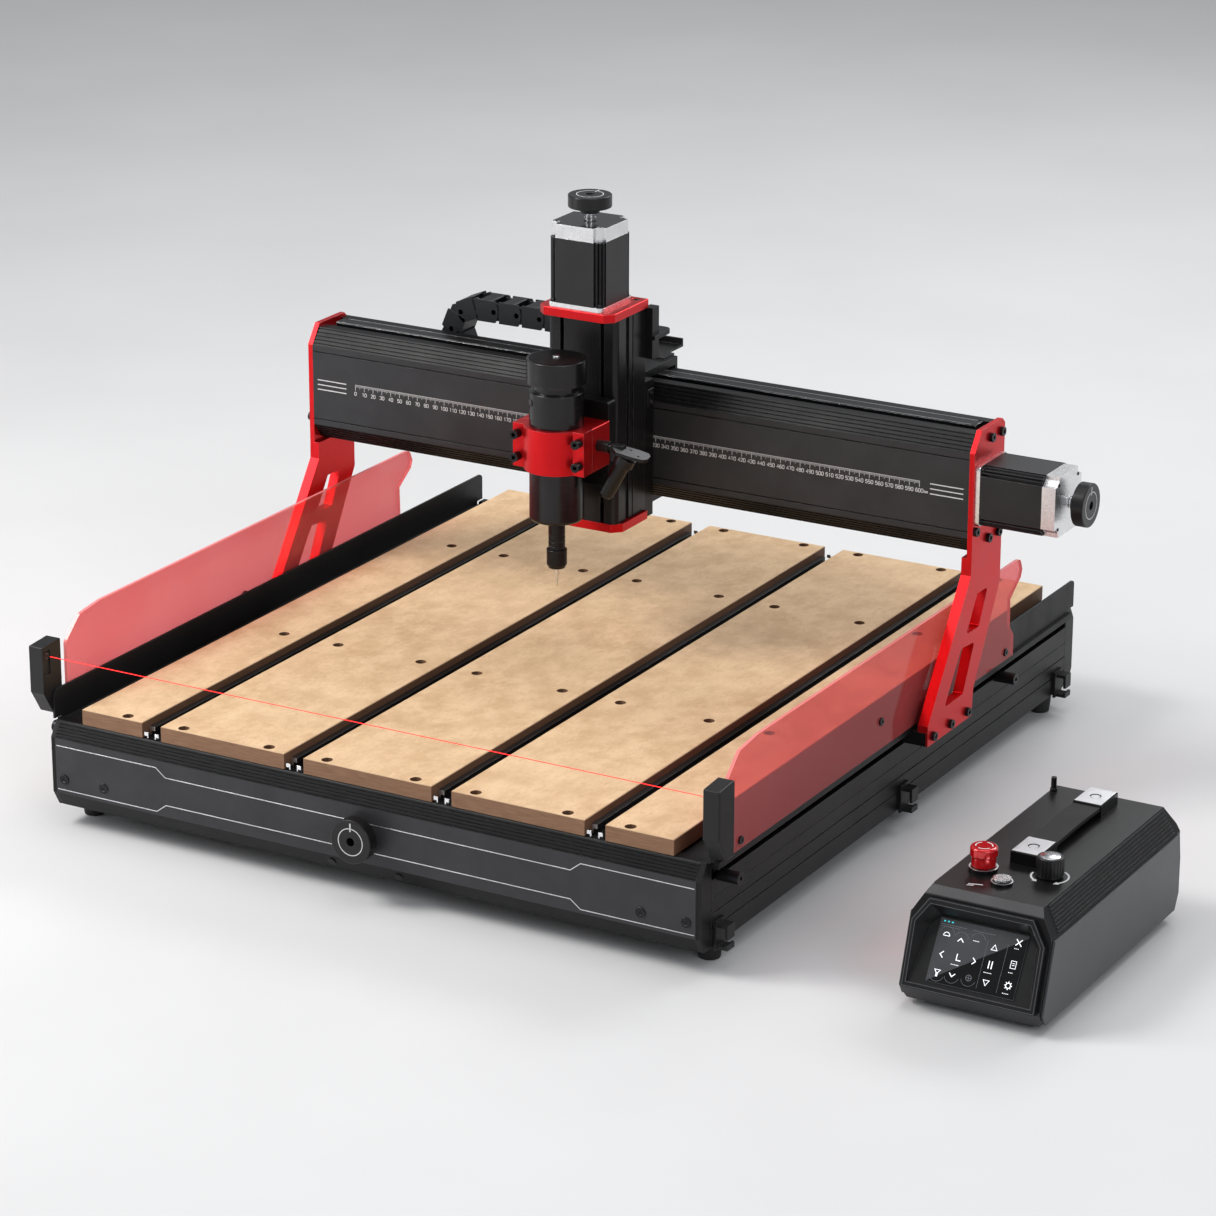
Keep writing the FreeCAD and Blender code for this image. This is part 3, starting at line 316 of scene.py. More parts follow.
def mdf():
    """Pressed fibre board: mottled tan face with short fibres, darker layered edges, and painted shade on every side
    that faces along X, which takes in the walls of the gaps between boards and of the holes.
    """
    m = Mat("fibre_board")
    blotch = m.noise(38, 6, 0.62, m.scaled(1, 0.8, 1))
    cloud = m.noise(9, 4, 0.55)
    fibre = m.noise(260, 5, 0.7, m.scaled(1.0, 0.45, 1.0), 0.8)
    speck = m.noise(850, 3, 0.6)
    col = m.mix(m.range(blotch, 0.32, 0.68, smooth=True), (0.62, 0.400, 0.215), (0.80, 0.560, 0.335))
    col = m.mix(m.range(cloud, 0.35, 0.7, 0, 0.4), col, (0.84, 0.61, 0.38))
    col = m.mix(m.range(fibre, 0.52, 0.74, 0, 0.45), col, (0.50, 0.285, 0.14))
    col = m.mix(m.range(fibre, 0.42, 0.28, 0, 0.45), col, (0.90, 0.69, 0.46))
    col = m.mix(m.range(speck, 0.62, 0.75, 0, 0.35), col, (0.26, 0.14, 0.07))
    up = m.range(m.sep(m.no)[2], 0.4, 0.8)
    layers = m.noise(120, 4, 0.6, m.scaled(0.5, 0.5, 6))
    side = m.mix(m.range(layers, 0.3, 0.7), (0.20, 0.100, 0.052), (0.31, 0.165, 0.090))
    # painted shade: sides facing along X, the walls of the gaps between the boards, are darkened to stand for the shade
    # that falls in the gaps
    x_side_painted_shade = m.math("GREATER_THAN", m.math("ABSOLUTE", m.sep(m.no)[0]), 0.35)
    side = m.mix(m.math("MULTIPLY", x_side_painted_shade, 0.6), side, (0.10, 0.045, 0.022))
    col = m.mix(up, side, col)
    h = m.math("ADD", m.math("MULTIPLY", fibre, 0.7), m.math("MULTIPLY", speck, 0.5))
    m.principled(Base_Color=col, Roughness=m.range(blotch, 0.3, 0.7, 0.58, 0.72), Normal=m.bump(h, 0.35, 0.00015, m.bevel(0.0004)))
    return m.m


def acrylic():
    """Tinted clear sheet. The cut edges take more colour and light than the faces."""
    m = Mat("acrylic_red")
    nx = m.math("ABSOLUTE", m.sep(m.no)[0])
    rim = m.range(nx, 0.95, 0.6)
    drift = m.noise(12, 3)
    tint = m.mix(m.range(drift, 0.3, 0.7), (0.95, 0.44, 0.45), (0.97, 0.50, 0.51))
    # the sheet's inner face lies against the dust wall, so the outer face carries the tint of both and the inner one is clear
    flat = m.math("SUBTRACT", 1.0, rim)
    inner = m.math("MULTIPLY", m.range(m.math("ABSOLUTE", m.sep(m.co)[0]), 0.3347, 0.3343), flat)
    deep = m.mix(m.range(drift, 0.3, 0.7), (0.9025, 0.1936, 0.2025), (0.9409, 0.25, 0.2601))
    see = m.n("ShaderNodeBsdfTransparent")
    m.put(see.inputs[0], m.mix(inner, m.mix(flat, tint, deep), (1.0, 1.0, 1.0)))
    body = m.n("ShaderNodeBsdfPrincipled")
    m.put(body.inputs["Base Color"], m.mix(rim, (0.86, 0.15, 0.15), (1.0, 0.30, 0.30)))
    m.put(body.inputs["Roughness"], m.range(m.noise(50, 4), 0.3, 0.7, 0.05, 0.12))
    m.put(body.inputs["Normal"], m.bump(m.noise(18, 3), 0.05, 0.0004))
    mixs = m.n("ShaderNodeMixShader")
    m.put(mixs.inputs[0], m.mixf(inner, m.mixf(rim, 0.42, 0.85), 0.0))
    m.t.links.new(see.outputs[0], mixs.inputs[1])
    m.t.links.new(body.outputs[0], mixs.inputs[2])
    m.t.links.new(mixs.outputs[0], m.out.inputs[0])
    return m.m


def ink(name="white_print", base=(0.75, 0.75, 0.76)):
    m = Mat(name)
    g = m.noise(1600, 3)
    m.principled(Base_Color=m.mix(m.range(g, 0.35, 0.65), tuple(c * 0.82 for c in base), base), Roughness=m.range(g, 0.3, 0.7, 0.42, 0.6),
                 Normal=m.bump(g, 0.1, 0.00003))
    return m.m


def glow(name, colour, strength):
    m = Mat(name)
    g = m.range(m.noise(500, 2), 0.3, 0.7, 0.85, 1.0)
    p = m.principled(Base_Color=colour, Roughness=0.3)
    m.put(p.inputs["Emission Color"], colour)
    m.put(p.inputs["Emission Strength"], m.math("MULTIPLY", g, strength))
    return m.m


def stop_red():
    m = Mat("stop_red")
    d = dust(m)
    p = m.principled(Base_Color=m.mix(m.range(d, 0.3, 0.7), (0.62, 0.004, 0.008), (0.78, 0.010, 0.014)), Roughness=m.range(d, 0.3, 0.7, 0.10, 0.2),
                     Metallic=0.35, Normal=m.bump(m.noise(600, 2), 0.05, 0.00004, m.bevel(0.0005)))
    p.inputs["Coat Weight"].default_value = 0.8
    return m.m


def profiles():
    """Black slotted profile with bright sawn ends and bright slot lips at the front."""
    return metal("slotted_profile", (0.030, 0.028, 0.027), 0.40, (240, 3, 240), 0.25, 0.30, metallic=0.6, zones=(
        (facing(1, -1), (0.72, 0.72, 0.74), 0.30, 1.0), (facing(1, 1), (0.72, 0.72, 0.74), 0.30, 1.0)))


M["mdf"], M["acrylic"], M["ink"], M["stop"], M["profile"] = mdf(), acrylic(), ink(), stop_red(), profiles()
M["trim"] = metal("trim_line", (0.16, 0.16, 0.17), 0.35, (100, 100, 100), 0.1, 0.0, metallic=0.6)
M["line"] = metal("line_silver", (0.70, 0.70, 0.72), 0.3, (100, 100, 100), 0.1, 0.0)
M["y_motor"] = motor_mat("motor_bed", 1, yy(89.5), -1, False)
M["x_motor"] = motor_mat("motor_beam", 0, 0.3535, 1, False)
# the column motor's silver end cap carries a painted dark reflection
M["z_motor"] = motor_mat("motor_column", 2, 0.3195, 1, True)
M["beam_rail"] = metal("guide_rail", (0.016, 0.016, 0.017), 0.3, (3, 300, 300), 0.2, 0.8, metallic=0.8, edge_r=0.0009)
M["caps"] = metal("handle_cap", (0.012, 0.012, 0.013), 0.2, (200, 200, 200), 0.2, 0.25, metallic=0.5, zones=((facing(2, 1), (0.66, 0.66, 0.68), 0.42, 1.0),))
M["screen"] = plastic("screen_glass", (0.060, 0.063, 0.068), 0.22, 1200, 0.02, 0.0, coat=0.4, tone=0.15)
M["screen_dark"] = plastic("screen_dark", (0.0020, 0.0020, 0.0026), 0.22, 1200, 0.02, 0.0, coat=0.3, tone=0.2, spec=0.25)
M["icon"] = glow("screen_icon", (0.85, 0.88, 0.92), 0.9)
M["icon_dim"] = glow("screen_icon_dim", (0.16, 0.17, 0.19), 0.35)
M["icon_teal"] = glow("screen_icon_teal", (0.05, 0.55, 0.60), 0.8)
M["lens"] = plastic("lens_dark", (0.10, 0.004, 0.006), 0.08, 1200, 0.02, 0.0, coat=1.0)
M["beamlight"] = glow("beam_light", (1.0, 0.02, 0.02), 2.2)

USE = {
    "spoilboards": "mdf", "bed_profiles": "profile", "end_beams": "front", "beam_end_caps": "black_alu", "side_rails": "black_alu",
    "y_guide_rails": "steel", "dust_walls": "sheet", "guard_panels": "acrylic", "light_barrier_posts": "plastic", "rubber_feet": "rubber",
    "cable_clips": "plastic", "slot_stops": "oxide", "y_motor": "y_motor", "y_drive_mounts": "black_alu", "y_drive_screw": "steel",
    "y_knob": "knob", "gantry_legs": "red", "gantry_beam": "beam", "x_guide_rails": "beam_rail", "foot_blocks": "black_alu",
    "y_guide_blocks": "steel", "gantry_crossbar": "black_alu", "x_motor": "x_motor", "x_drive_screw": "steel", "x_knob": "knob",
    "x_screw_bearing": "oxide", "chain_tray": "sheet", "gantry_screws": "oxide", "x_carriage": "black_alu", "z_column": "column",
    "z_end_plates": "red", "z_motor": "z_motor", "z_drive_screw": "steel", "z_knob": "knob", "z_guide_rails": "steel", "z_slide": "black_alu",
    "spindle_clamp": "red", "clamp_screws": "oxide", "spindle_body": "spindle", "spindle_fan_hood": "spindle", "spindle_shaft": "oxide",
    "collet_nut": "oxide", "cutter_bit": "bright", "work_lamp": "lamp", "drag_chain_upper": "chain", "drag_chain_lower": "chain",
    "drag_chain_bend": "chain", "controller_case": "case", "controller_side_panels": "panel", "controller_sockets": "plastic",
    "controller_electronics": "board_green", "screen_bezel": "bezel", "touch_screen": "screen", "emergency_stop": "stop", "speed_knob": "knob",
    "safety_button": "bright", "handle_caps": "caps", "handle_strap": "rubber", "controller_feet": "rubber", "frame_screws": "oxide",
}
for node, key in USE.items():
    o = NODES[node]
    o.data.materials.clear()
    o.data.materials.append(M[key])


# =============================================================== mesh helpers
class Build:
    """Collects geometry in drawing millimetres for one piece."""

    def __init__(self):
        self.v, self.f, self.smooth, self.mi = [], [], [], []

    def add(self, verts, faces, smooth=False, mi=0):
        k = len(self.v)
        self.v += [tuple(v) for v in verts]
        self.f += [tuple(i + k for i in f) for f in faces]
        self.smooth += [smooth] * len(faces)
        self.mi += [mi] * len(faces)

    def prism(self, pts, axis, a, b, mi=0):
        """Closed polygon pushed along an axis from a to b."""
        put = {"x": lambda p, h: (h, p[0], p[1]), "y": lambda p, h: (p[0], h, p[1]), "z": lambda p, h: (p[0], p[1], h)}[axis]
        n = len(pts)
        self.add([put(p, a) for p in pts] + [put(p, b) for p in pts],
                 [tuple(range(n))[::-1], tuple(range(n, 2 * n))] + [(i, (i + 1) % n, n + (i + 1) % n, n + i) for i in range(n)], mi=mi)

    def box(self, x0, x1, y0, y1, z0, z1, c=0.0, mi=0):
        """Box with all vertical-to-axis edges chamfered by c along its longest axis."""
        if c <= 0:
            self.prism([(x0, y0), (x1, y0), (x1, y1), (x0, y1)], "z", z0, z1, mi)
            return
        d = {"x": x1 - x0, "y": y1 - y0, "z": z1 - z0}
        ax = max(d, key=d.get)
        (a0, a1), (b0, b1), (h0, h1) = {"x": ((y0, y1), (z0, z1), (x0, x1)), "y": ((x0, x1), (z0, z1), (y0, y1)), "z": ((x0, x1), (y0, y1), (z0, z1))}[ax]
        o = [(a0 + c, b0), (a1 - c, b0), (a1, b0 + c), (a1, b1 - c), (a1 - c, b1), (a0 + c, b1), (a0, b1 - c), (a0, b0 + c)]
        i = [(a0 + c, b0 + c), (a1 - c, b0 + c), (a1 - c, b0 + c), (a1 - c, b1 - c), (a1 - c, b1 - c), (a0 + c, b1 - c), (a0 + c, b1 - c), (a0 + c, b0 + c)]
        put = {"x": lambda p, h: (h, p[0], p[1]), "y": lambda p, h: (p[0], h, p[1]), "z": lambda p, h: (p[0], p[1], h)}[ax]
        self.add([put(p, h0 + c) for p in o] + [put(p, h1 - c) for p in o],
                 [(k, (k + 1) % 8, 8 + (k + 1) % 8, 8 + k) for k in range(8)], mi=mi)
        q = [(a0 + c, b0 + c), (a1 - c, b0 + c), (a1 - c, b1 - c), (a0 + c, b1 - c)]
        for h, hc in ((h0, h0 + c), (h1, h1 - c)):
            self.add([put(p, h) for p in q] + [put(p, hc) for p in o],
                     [(0, 1, 2, 3), (4, 5, 1, 0), (5, 6, 1), (6, 7, 2, 1), (7, 8, 2), (8, 9, 3, 2), (9, 10, 3), (10, 11, 0, 3), (11, 4, 0)], mi=mi)

    def lathe(self, prof, centre, axis, seg=40, mi=0, smooth=True):
        """prof is a list of (radius, height); heights run along axis from centre."""
        rings = []
        cx, cy, cz = centre
        for r, h in prof:
            ring = []
            for k in range(seg):
                a = 2 * math.pi * k / seg
                u, w = r * math.cos(a), r * math.sin(a)
                ring.append({"x": (cx + h, cy + u, cz + w), "y": (cx + u, cy + h, cz - w), "z": (cx + u, cy + w, cz + h)}[axis])
            rings.append(ring)
        verts = [p for ring in rings for p in ring]
        faces = []
        for i in range(len(prof) - 1):
            for k in range(seg):
                faces.append((i * seg + k, i * seg + (k + 1) % seg, (i + 1) * seg + (k + 1) % seg, (i + 1) * seg + k))
        self.add(verts, faces, smooth, mi)
        for i, sgn in ((0, -1), (len(prof) - 1, 1)):
            if prof[i][0] > 1e-6:
                ring = [i * seg + k for k in range(seg)]
                self.add([verts[j] for j in ring], [tuple(range(seg))[::sgn]], False, mi)

    def make(self, name, mats, body, replaces=(), weld=True, ride=True):
        me = bpy.data.meshes.new(name)
        me.from_pydata([P(*v) for v in self.v], [], self.f)
        for p, s, i in zip(me.polygons, self.smooth, self.mi):
            p.use_smooth = s
            p.material_index = i
        for mt in (mats if isinstance(mats, (list, tuple)) else [mats]):
            me.materials.append(mt)
        bm = bmesh.new()
        bm.from_mesh(me)
        if weld:
            bmesh.ops.remove_doubles(bm, verts=bm.verts, dist=1e-7)
        bmesh.ops.recalc_face_normals(bm, faces=bm.faces)
        bm.to_mesh(me)
        bm.free()
        me.set_sharp_from_angle(angle=math.radians(35))
        o = bpy.data.objects.new(name, me)
        bpy.context.scene.collection.objects.link(o)
        if ride:
            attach(o, body)
        if replaces:
            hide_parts(*replaces)
        return o


def digits(text, size):
    """Strokes of a plain stick lettering for numbers, as polylines in a unit-high cell."""
    G = {"0": [[(0, .15), (0, .85), (.15, 1), (.45, 1), (.6, .85), (.6, .15), (.45, 0), (.15, 0), (0, .15)]], "1": [[(.1, .8), (.35, 1), (.35, 0)]],
         "2": [[(0, .82), (.15, 1), (.45, 1), (.6, .85), (.6, .65), (0, 0), (.6, 0)]], "3": [[(0, .85), (.15, 1), (.45, 1), (.6, .85), (.6, .62), (.45, .52), (.25, .52)], [(.45, .52), (.6, .4), (.6, .15), (.45, 0), (.15, 0), (0, .15)]],
         "4": [[(.45, 0), (.45, 1), (0, .3), (.65, .3)]], "5": [[(.6, 1), (.05, 1), (0, .55), (.42, .6), (.6, .45), (.6, .15), (.45, 0), (.15, 0), (0, .12)]],
         "6": [[(.55, .95), (.2, 1), (0, .7), (0, .15), (.15, 0), (.45, 0), (.6, .15), (.6, .4), (.45, .55), (.15, .55), (0, .4)]], "7": [[(0, 1), (.6, 1), (.2, 0)]],
         "8": [[(.15, .53), (0, .65), (0, .87), (.15, 1), (.45, 1), (.6, .87), (.6, .65), (.45, .53), (.15, .53), (0, .4), (0, .13), (.15, 0), (.45, 0), (.6, .13), (.6, .4), (.45, .53)]],
         "9": [[(.05, .05), (.4, 0), (.6, .3), (.6, .85), (.45, 1), (.15, 1), (0, .85), (0, .6), (.15, .45), (.45, .45), (.6, .6)]],
         "m": [[(0, 0), (0, .6)], [(0, .5), (.15, .62), (.3, .5), (.3, 0)], [(.3, .5), (.45, .62), (.6, .5), (.6, 0)]]}
    lines, x = [], 0.0
    for ch in text:
        for s in G[ch]:
            lines.append([((x + a) * size, b * size) for a, b in s])
        x += 0.84
    return lines, (x - 0.24) * size


def strokes(b, lines, w, put, t=0.06, mi=0):
    """Flat closed ribbons of width w along polylines (u, v), mitred at their corners; put(u, v, h) gives the point, h off the surface."""
    for line in lines:
        pts = [line[0]] + [q for p, q in zip(line, line[1:]) if math.hypot(q[0] - p[0], q[1] - p[1]) > 1e-7]
        closed = len(pts) > 3 and math.hypot(pts[0][0] - pts[-1][0], pts[0][1] - pts[-1][1]) < 1e-6
        if closed:
            pts = pts[:-1]
        n = len(pts)
        if n < 2:
            continue
        dirs = []
        for k in range(n if closed else n - 1):
            (u0, v0), (u1, v1) = pts[k], pts[(k + 1) % n]
            L = math.hypot(u1 - u0, v1 - v0)
            dirs.append(((u1 - u0) / L, (v1 - v0) / L))
        left, right = [], []
        for k in range(n):
            a = dirs[k - 1] if (closed or k > 0) else dirs[0]
            c = dirs[k] if (closed or k < n - 1) else dirs[-1]
            mu, mv = -(a[1] + c[1]), a[0] + c[0]
            L = math.hypot(mu, mv)
            if L < 0.35:
                mu, mv, L, sc = -a[1], a[0], 1.0, 1.0
            else:
                sc = min(1.6, 2 / L)
            mu, mv = mu / L * sc * w / 2, mv / L * sc * w / 2
            u, v = pts[k]
            left.append((u + mu, v + mv))
            right.append((u - mu, v - mv))
        verts = [put(u, v, 0.0) for u, v in left + right] + [put(u, v, t) for u, v in left + right]
        faces = []
        for k in range(n if closed else n - 1):
            q = (k + 1) % n
            faces += [(k, q, n + q, n + k)[::-1], (2 * n + k, 2 * n + q, 3 * n + q, 3 * n + k), (k, 2 * n + k, 2 * n + q, q)[::-1], (n + k, n + q, 3 * n + q, 3 * n + k)[::-1]]
        if not closed:
            faces += [(0, n, 3 * n, 2 * n), (n - 1, 3 * n - 1, 4 * n - 1, 2 * n - 1)]
        b.add(verts, faces, mi=mi)


def arc(cu, cv, r, a0, a1, n=24):
    return [(cu + r * math.cos(math.radians(a0 + (a1 - a0) * k / n)), cv + r * math.sin(math.radians(a0 + (a1 - a0) * k / n))) for k in range(n + 1)]


# =============================================================== printed marks
# rule on the beam: ticks hang from a base line, numbers stand under every tenth
b = Build()
face = lambda u, v, h: (u, 451 - h, v)
strokes(b, [[(-300, 184.2), (300, 184.2)]], 0.35, face)
for k in range(0, 601, 1):
    x = -300 + k
    L = 5.6 if k % 10 == 0 else 3.6 if k % 5 == 0 else 2.2
    strokes(b, [[(x, 184.2), (x, 184.2 - L)]], 0.42 if k % 10 == 0 else 0.30, face)
for k in range(0, 601, 10):
    lines, w = digits(str(k), 3.3)
    strokes(b, [[(-300 + k - w / 2 + u, 173.8 + v) for u, v in l] for l in lines], 0.55, face)
lines, w = digits("mm", 3.0)
strokes(b, [[(303.8 + u, 173.8 + v) for u, v in l] for l in lines], 0.5, face)
for z in (183.3, 178.6, 173.9):
    for s in (-1, 1):
        strokes(b, [[(s * 343.3, z), (s * 310.5, z)]], 1.0, face)
b.make("beam_rule", M["ink"], "gantry", weld=False)

# inlaid lines on the front beam
b = Build()
ff = lambda u, v, h: (u, -8.4 - h, v)
fr = lambda u, v, h: (u, 742.4 + h, v)
for put in (ff, fr):
    for z0, z1 in ((-36.0, -43.8), (-77.5, -70.0)):
        strokes(b, [[(-324, z0), (-216, z0), (-206, z1), (206, z1), (216, z0), (324, z0)]], 0.75, put)
b.make("beam_inlay_lines", M["line"], "base", weld=False)


b = Build()
tp = lambda u, v, h: (u, v, 234.5 + h)
strokes(b, [[(-335, 481.1), (335, 481.1)], [(-335, 494.9), (335, 494.9)]], 0.8, tp, 0.04)
b.make("beam_rail_edges", M["line"], "gantry", weld=False)

# sawn bright lips of the slotted profiles, at both ends of every gap
b = Build()
for xg in (-225, -75, 75, 225):
    for s in (-1, 1):
        x = xg + s * 7.6
        for y0, y1 in ((-0.35, 0.0), (734.0, 734.35)):
            b.box(min(x, x - s * 4.2), max(x, x - s * 4.2), y0, y1, -11.6, -8.2)
            b.box(min(x - s * 3.0, x - s * 4.2), max(x - s * 3.0, x - s * 4.2), y0, y1, -13.4, -11.7)
b.make("profile_lips", M["bright"], "base", weld=False)


def knob_mark(name, put, body):
    """Generic mark on a hand knob: one ring and a short pointer line."""
    b = Build()
    strokes(b, [arc(0, 0, 12.2, 0, 360, 48)], 0.8, put)
    strokes(b, [[(0, 9.5), (0, 17.2)]], 1.3, put)
    b.make(name, M["ink"], body, weld=False)


knob_mark("bed_knob_mark", lambda u, v, h: (u, -27.6 - h, -55 + v), "y_drive")
knob_mark("beam_knob_mark", lambda u, v, h: (453.5 + h, 481.5 + u, 177.5 + v), "x_drive")
kz = NODES["z_knob"].bound_box[6][2] * 1000
knob_mark("column_knob_mark", lambda u, v, h: (-8 + u, 395.2 + v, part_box("z_knob")[1][2] * 1000 + h), "z_drive")


# =============================================================== ball screws with a real thread
def thread(name, centre, axis, a, b_, r, lead, body, node, extras):
    bld = Build()
    seg, per = 28, 10
    n = int((b_ - a) / lead * per)
    cx, cy, cz = centre
    verts, faces = [], []
    for i in range(n + 1):
        h = a + (b_ - a) * i / n
        for k in range(seg):
            t = 2 * math.pi * k / seg
            ph = (h / lead - k / seg) % 1.0
            g = max(0.0, 1 - ((ph - 0.5) / 0.24) ** 2)
            rr = r - 1.15 * math.sqrt(g)
            u, w = rr * math.cos(t), rr * math.sin(t)
            verts.append({"x": (h, cy + u, cz + w), "y": (cx + u, h, cz - w), "z": (cx + u, cy + w, h)}[axis])
    for i in range(n):
        for k in range(seg):
            faces.append((i * seg + k, i * seg + (k + 1) % seg, (i + 1) * seg + (k + 1) % seg, (i + 1) * seg + k))
    faces.append(tuple(range(seg))[::-1])
    faces.append(tuple(n * seg + k for k in range(seg)))
    bld.add(verts, faces, True)
    for prof, c in extras:
        bld.lathe(prof, c, axis, 36, mi=1)
    bld.make(name, [M["steel"], M["bright"]], body, (node,))


def coupling(L, r, shaft, sl):
    """Beam coupling with a helical-looking pair of slits, then the motor shaft."""
    p = [(r - 0.6, 0), (r, 0.6)]
    for g in (L * 0.38, L * 0.5, L * 0.62):
        p += [(r, g - 0.5), (r - 2.2, g - 0.5), (r - 2.2, g + 0.5), (r, g + 0.5)]
    return p + [(r, L - 0.6), (r - 0.6, L), (shaft, L), (shaft, sl)]


thread("bed_ball_screw", (0, 0, -55), "y", 120.5, 705.5, 6.0, 10.0, "y_drive", "y_drive_screw",
       [([(4, -119), (4, -21), (12.4, -21), (12.5, -20.4), (12.5, -13), (10.2, -13), (10.2, -12), (12.5, -12), (12.5, -9), (10.2, -9), (10.2, -8), (12.5, -8), (12.5, -0.6), (11.9, 0)], (0, 120, -55)),
        ([(6.0, 0), (6.0, 1.2)], (0, 119.6, -55))])
thread("beam_ball_screw", (0, 481.5, 177.5), "x", -343.0, 322.0, 6.0, 10.0, "x_drive", "x_drive_screw",
       [([(11.9, 0), (12.5, 0.6), (12.5, 9), (10.2, 9), (10.2, 10), (12.5, 10), (12.5, 14), (10.2, 14), (10.2, 15), (12.5, 15), (12.5, 23.4), (11.9, 24), (4, 24), (4, 126.5)], (322, 481.5, 177.5))])
thread("column_ball_screw", (-8, 395.2, 0), "z", 110.0, 291.0, 6.0, 10.0, "z_drive", "z_drive_screw",
       [([(10.9, 0), (11.5, 0.6), (11.5, 7), (9.4, 7), (9.4, 8), (11.5, 8), (11.5, 12), (9.4, 12), (9.4, 13), (11.5, 13), (11.5, 19.4), (10.9, 20), (4, 20), (4, 128)], (-8, 395.2, 291))])

# =============================================================== drag chain
CY0, CY1 = 522.0, 550.0


def link(b, u0, u1, place, tail_in=True):
    """One link from u0 to u1 along the run; tail_in reaches back into the link before. place(u, y, v) puts run length u, depth y and height v (0..22) in the drawing."""
    w = (u1 - u0)
    for s, y0, y1, yo in ((0, CY0, CY0 + 2.0, CY0 + 1.2), (1, CY1 - 2.0, CY1, CY1 - 3.2)):
        # outer half plate and the inner half plate
        nose = [(u0 + w * 0.10, 2.0), (u0 + w * 0.62, 2.0)] + [(u0 + w * 0.62 + 9.0 * math.cos(math.radians(a)) * 0.95, 11 + 9.0 * math.sin(math.radians(a))) for a in range(-80, 81, 20)] + [(u0 + w * 0.62, 20.0), (u0 + w * 0.10, 20.0)]
        tail = [(u0 - w * 0.32, 5.5), (u0 - w * 0.22, 2.6), (u0 + w * 0.34, 2.6), (u0 + w * 0.34, 19.4), (u0 - w * 0.22, 19.4), (u0 - w * 0.32, 16.5)]
        full = [(u0 + w * 0.04, 0.4), (u0 + w * 0.86, 0.4), (u0 + w * 0.97, 5.0), (u0 + w * 1.0, 11.0), (u0 + w * 0.97, 17.0), (u0 + w * 0.86, 21.6), (u0 + w * 0.04, 21.6)]
        for poly, ya, yb in ((full, y0, y1), (tail, yo, yo + 2.0))[:2 if tail_in else 1]:
            n = len(poly)
            b.add([place(u, ya, v) for u, v in poly] + [place(u, yb, v) for u, v in poly],
                  [tuple(range(n)), tuple(range(2 * n - 1, n - 1, -1))] + [(i, (i + 1) % n, n + (i + 1) % n, n + i) for i in range(n)])
        # pivot boss
        yf = CY0 - 0.0 if s == 0 else CY1
        yb2 = CY0 + 0.6 if s == 0 else CY1 - 0.6
        ring = [(u0 + w * 0.80 + 2.6 * math.cos(math.radians(a)), 11 + 2.6 * math.sin(math.radians(a))) for a in range(0, 360, 30)]
        n = 12
        b.add([place(u, yf, v) for u, v in ring] + [place(u, yb2, v) for u, v in ring],
              [tuple(range(n)), tuple(range(2 * n - 1, n - 1, -1))] + [(i, (i + 1) % n, n + (i + 1) % n, n + i) for i in range(n)])
    for v0, v1 in ((0.2, 2.4), (19.6, 21.8)):
        poly = [(u0 + w * 0.20, v0), (u0 + w * 0.66, v0), (u0 + w * 0.70, (v0 + v1) / 2), (u0 + w * 0.66, v1), (u0 + w * 0.20, v1), (u0 + w * 0.16, (v0 + v1) / 2)]
        n = 6
        b.add([place(u, CY0 + 1.5, v) for u, v in poly] + [place(u, CY1 - 1.5, v) for u, v in poly],
              [tuple(range(n)), tuple(range(2 * n - 1, n - 1, -1))] + [(i, (i + 1) % n, n + (i + 1) % n, n + i) for i in range(n)])


BX, BZ = -208.0, 228.0
b = Build()
for k in range(7):
    u0 = -208 + 25.4 * k
    link(b, u0, u0 + 25.4, lambda u, y, v: (u, y, BZ + 16 + v), k > 0)
up = b.make("chain_upper_links", M["chain"], None, ("drag_chain_upper",), ride=False)
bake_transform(up)
b = Build()
for k in range(10):
    u0 = -208 + 24.8 * k
    link(b, u0, u0 + 24.8, lambda u, y, v: (u, y, BZ - 38 + v))
low = b.make("chain_lower_links", M["chain"], None, ("drag_chain_lower",), ride=False)
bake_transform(low)
b = Build()
NB = 4
for k in range(NB):
    a0 = 90 + 180 * k / NB

    def place(u, y, v, a0=a0):
        ang = math.radians(a0 + 180 / NB / 2)
        mid = (BX + 27 * math.cos(ang), BZ + 27 * math.sin(ang))
        tx, tz = -math.sin(ang), math.cos(ang)
        return (mid[0] + tx * u + math.cos(ang) * (v - 11), y, mid[1] + tz * u + math.sin(ang) * (v - 11))
    link(b, -11.0, 11.0, place)
b.make("chain_bend_links", M["chain"], "chain_end", ("drag_chain_bend",))

# =============================================================== small parts of the machine
b = Build()
for x in (-38, -22, 6, 22):
    b.lathe([(3.3, -2.9), (3.3, -0.6), (2.9, -0.2), (1.6, -0.2), (1.6, -1.6), (0.0, -1.6)], (x, 427, 319.5), "z", 24)
b.make("column_plate_screws", M["oxide"], "x_slide")
b = Build()
b.box(25.0, 28.4, 438.5, 450.3, 214.5, 231.5, 0.7)
b.box(25.0, 27.6, 437.5, 449.3, 118.0, 132.0, 0.6)
for z in (218.5, 227.5):
    b.lathe([(1.9, 0), (1.9, 0.9), (1.2, 0.9), (1.2, 0.3), (0, 0.3)], (28.4, 444.5, z), "x", 18, mi=1)
for z in (122.0, 150.0, 190.0):
    b.lathe([(1.9, -0.2), (1.9, 0.7), (1.2, 0.7), (1.2, 0.1), (0, 0.1)], (25.0, 444.5, z), "x", 18, mi=1)
b.make("carriage_side_blocks", [M["black_alu"], M["oxide"]], "x_slide")
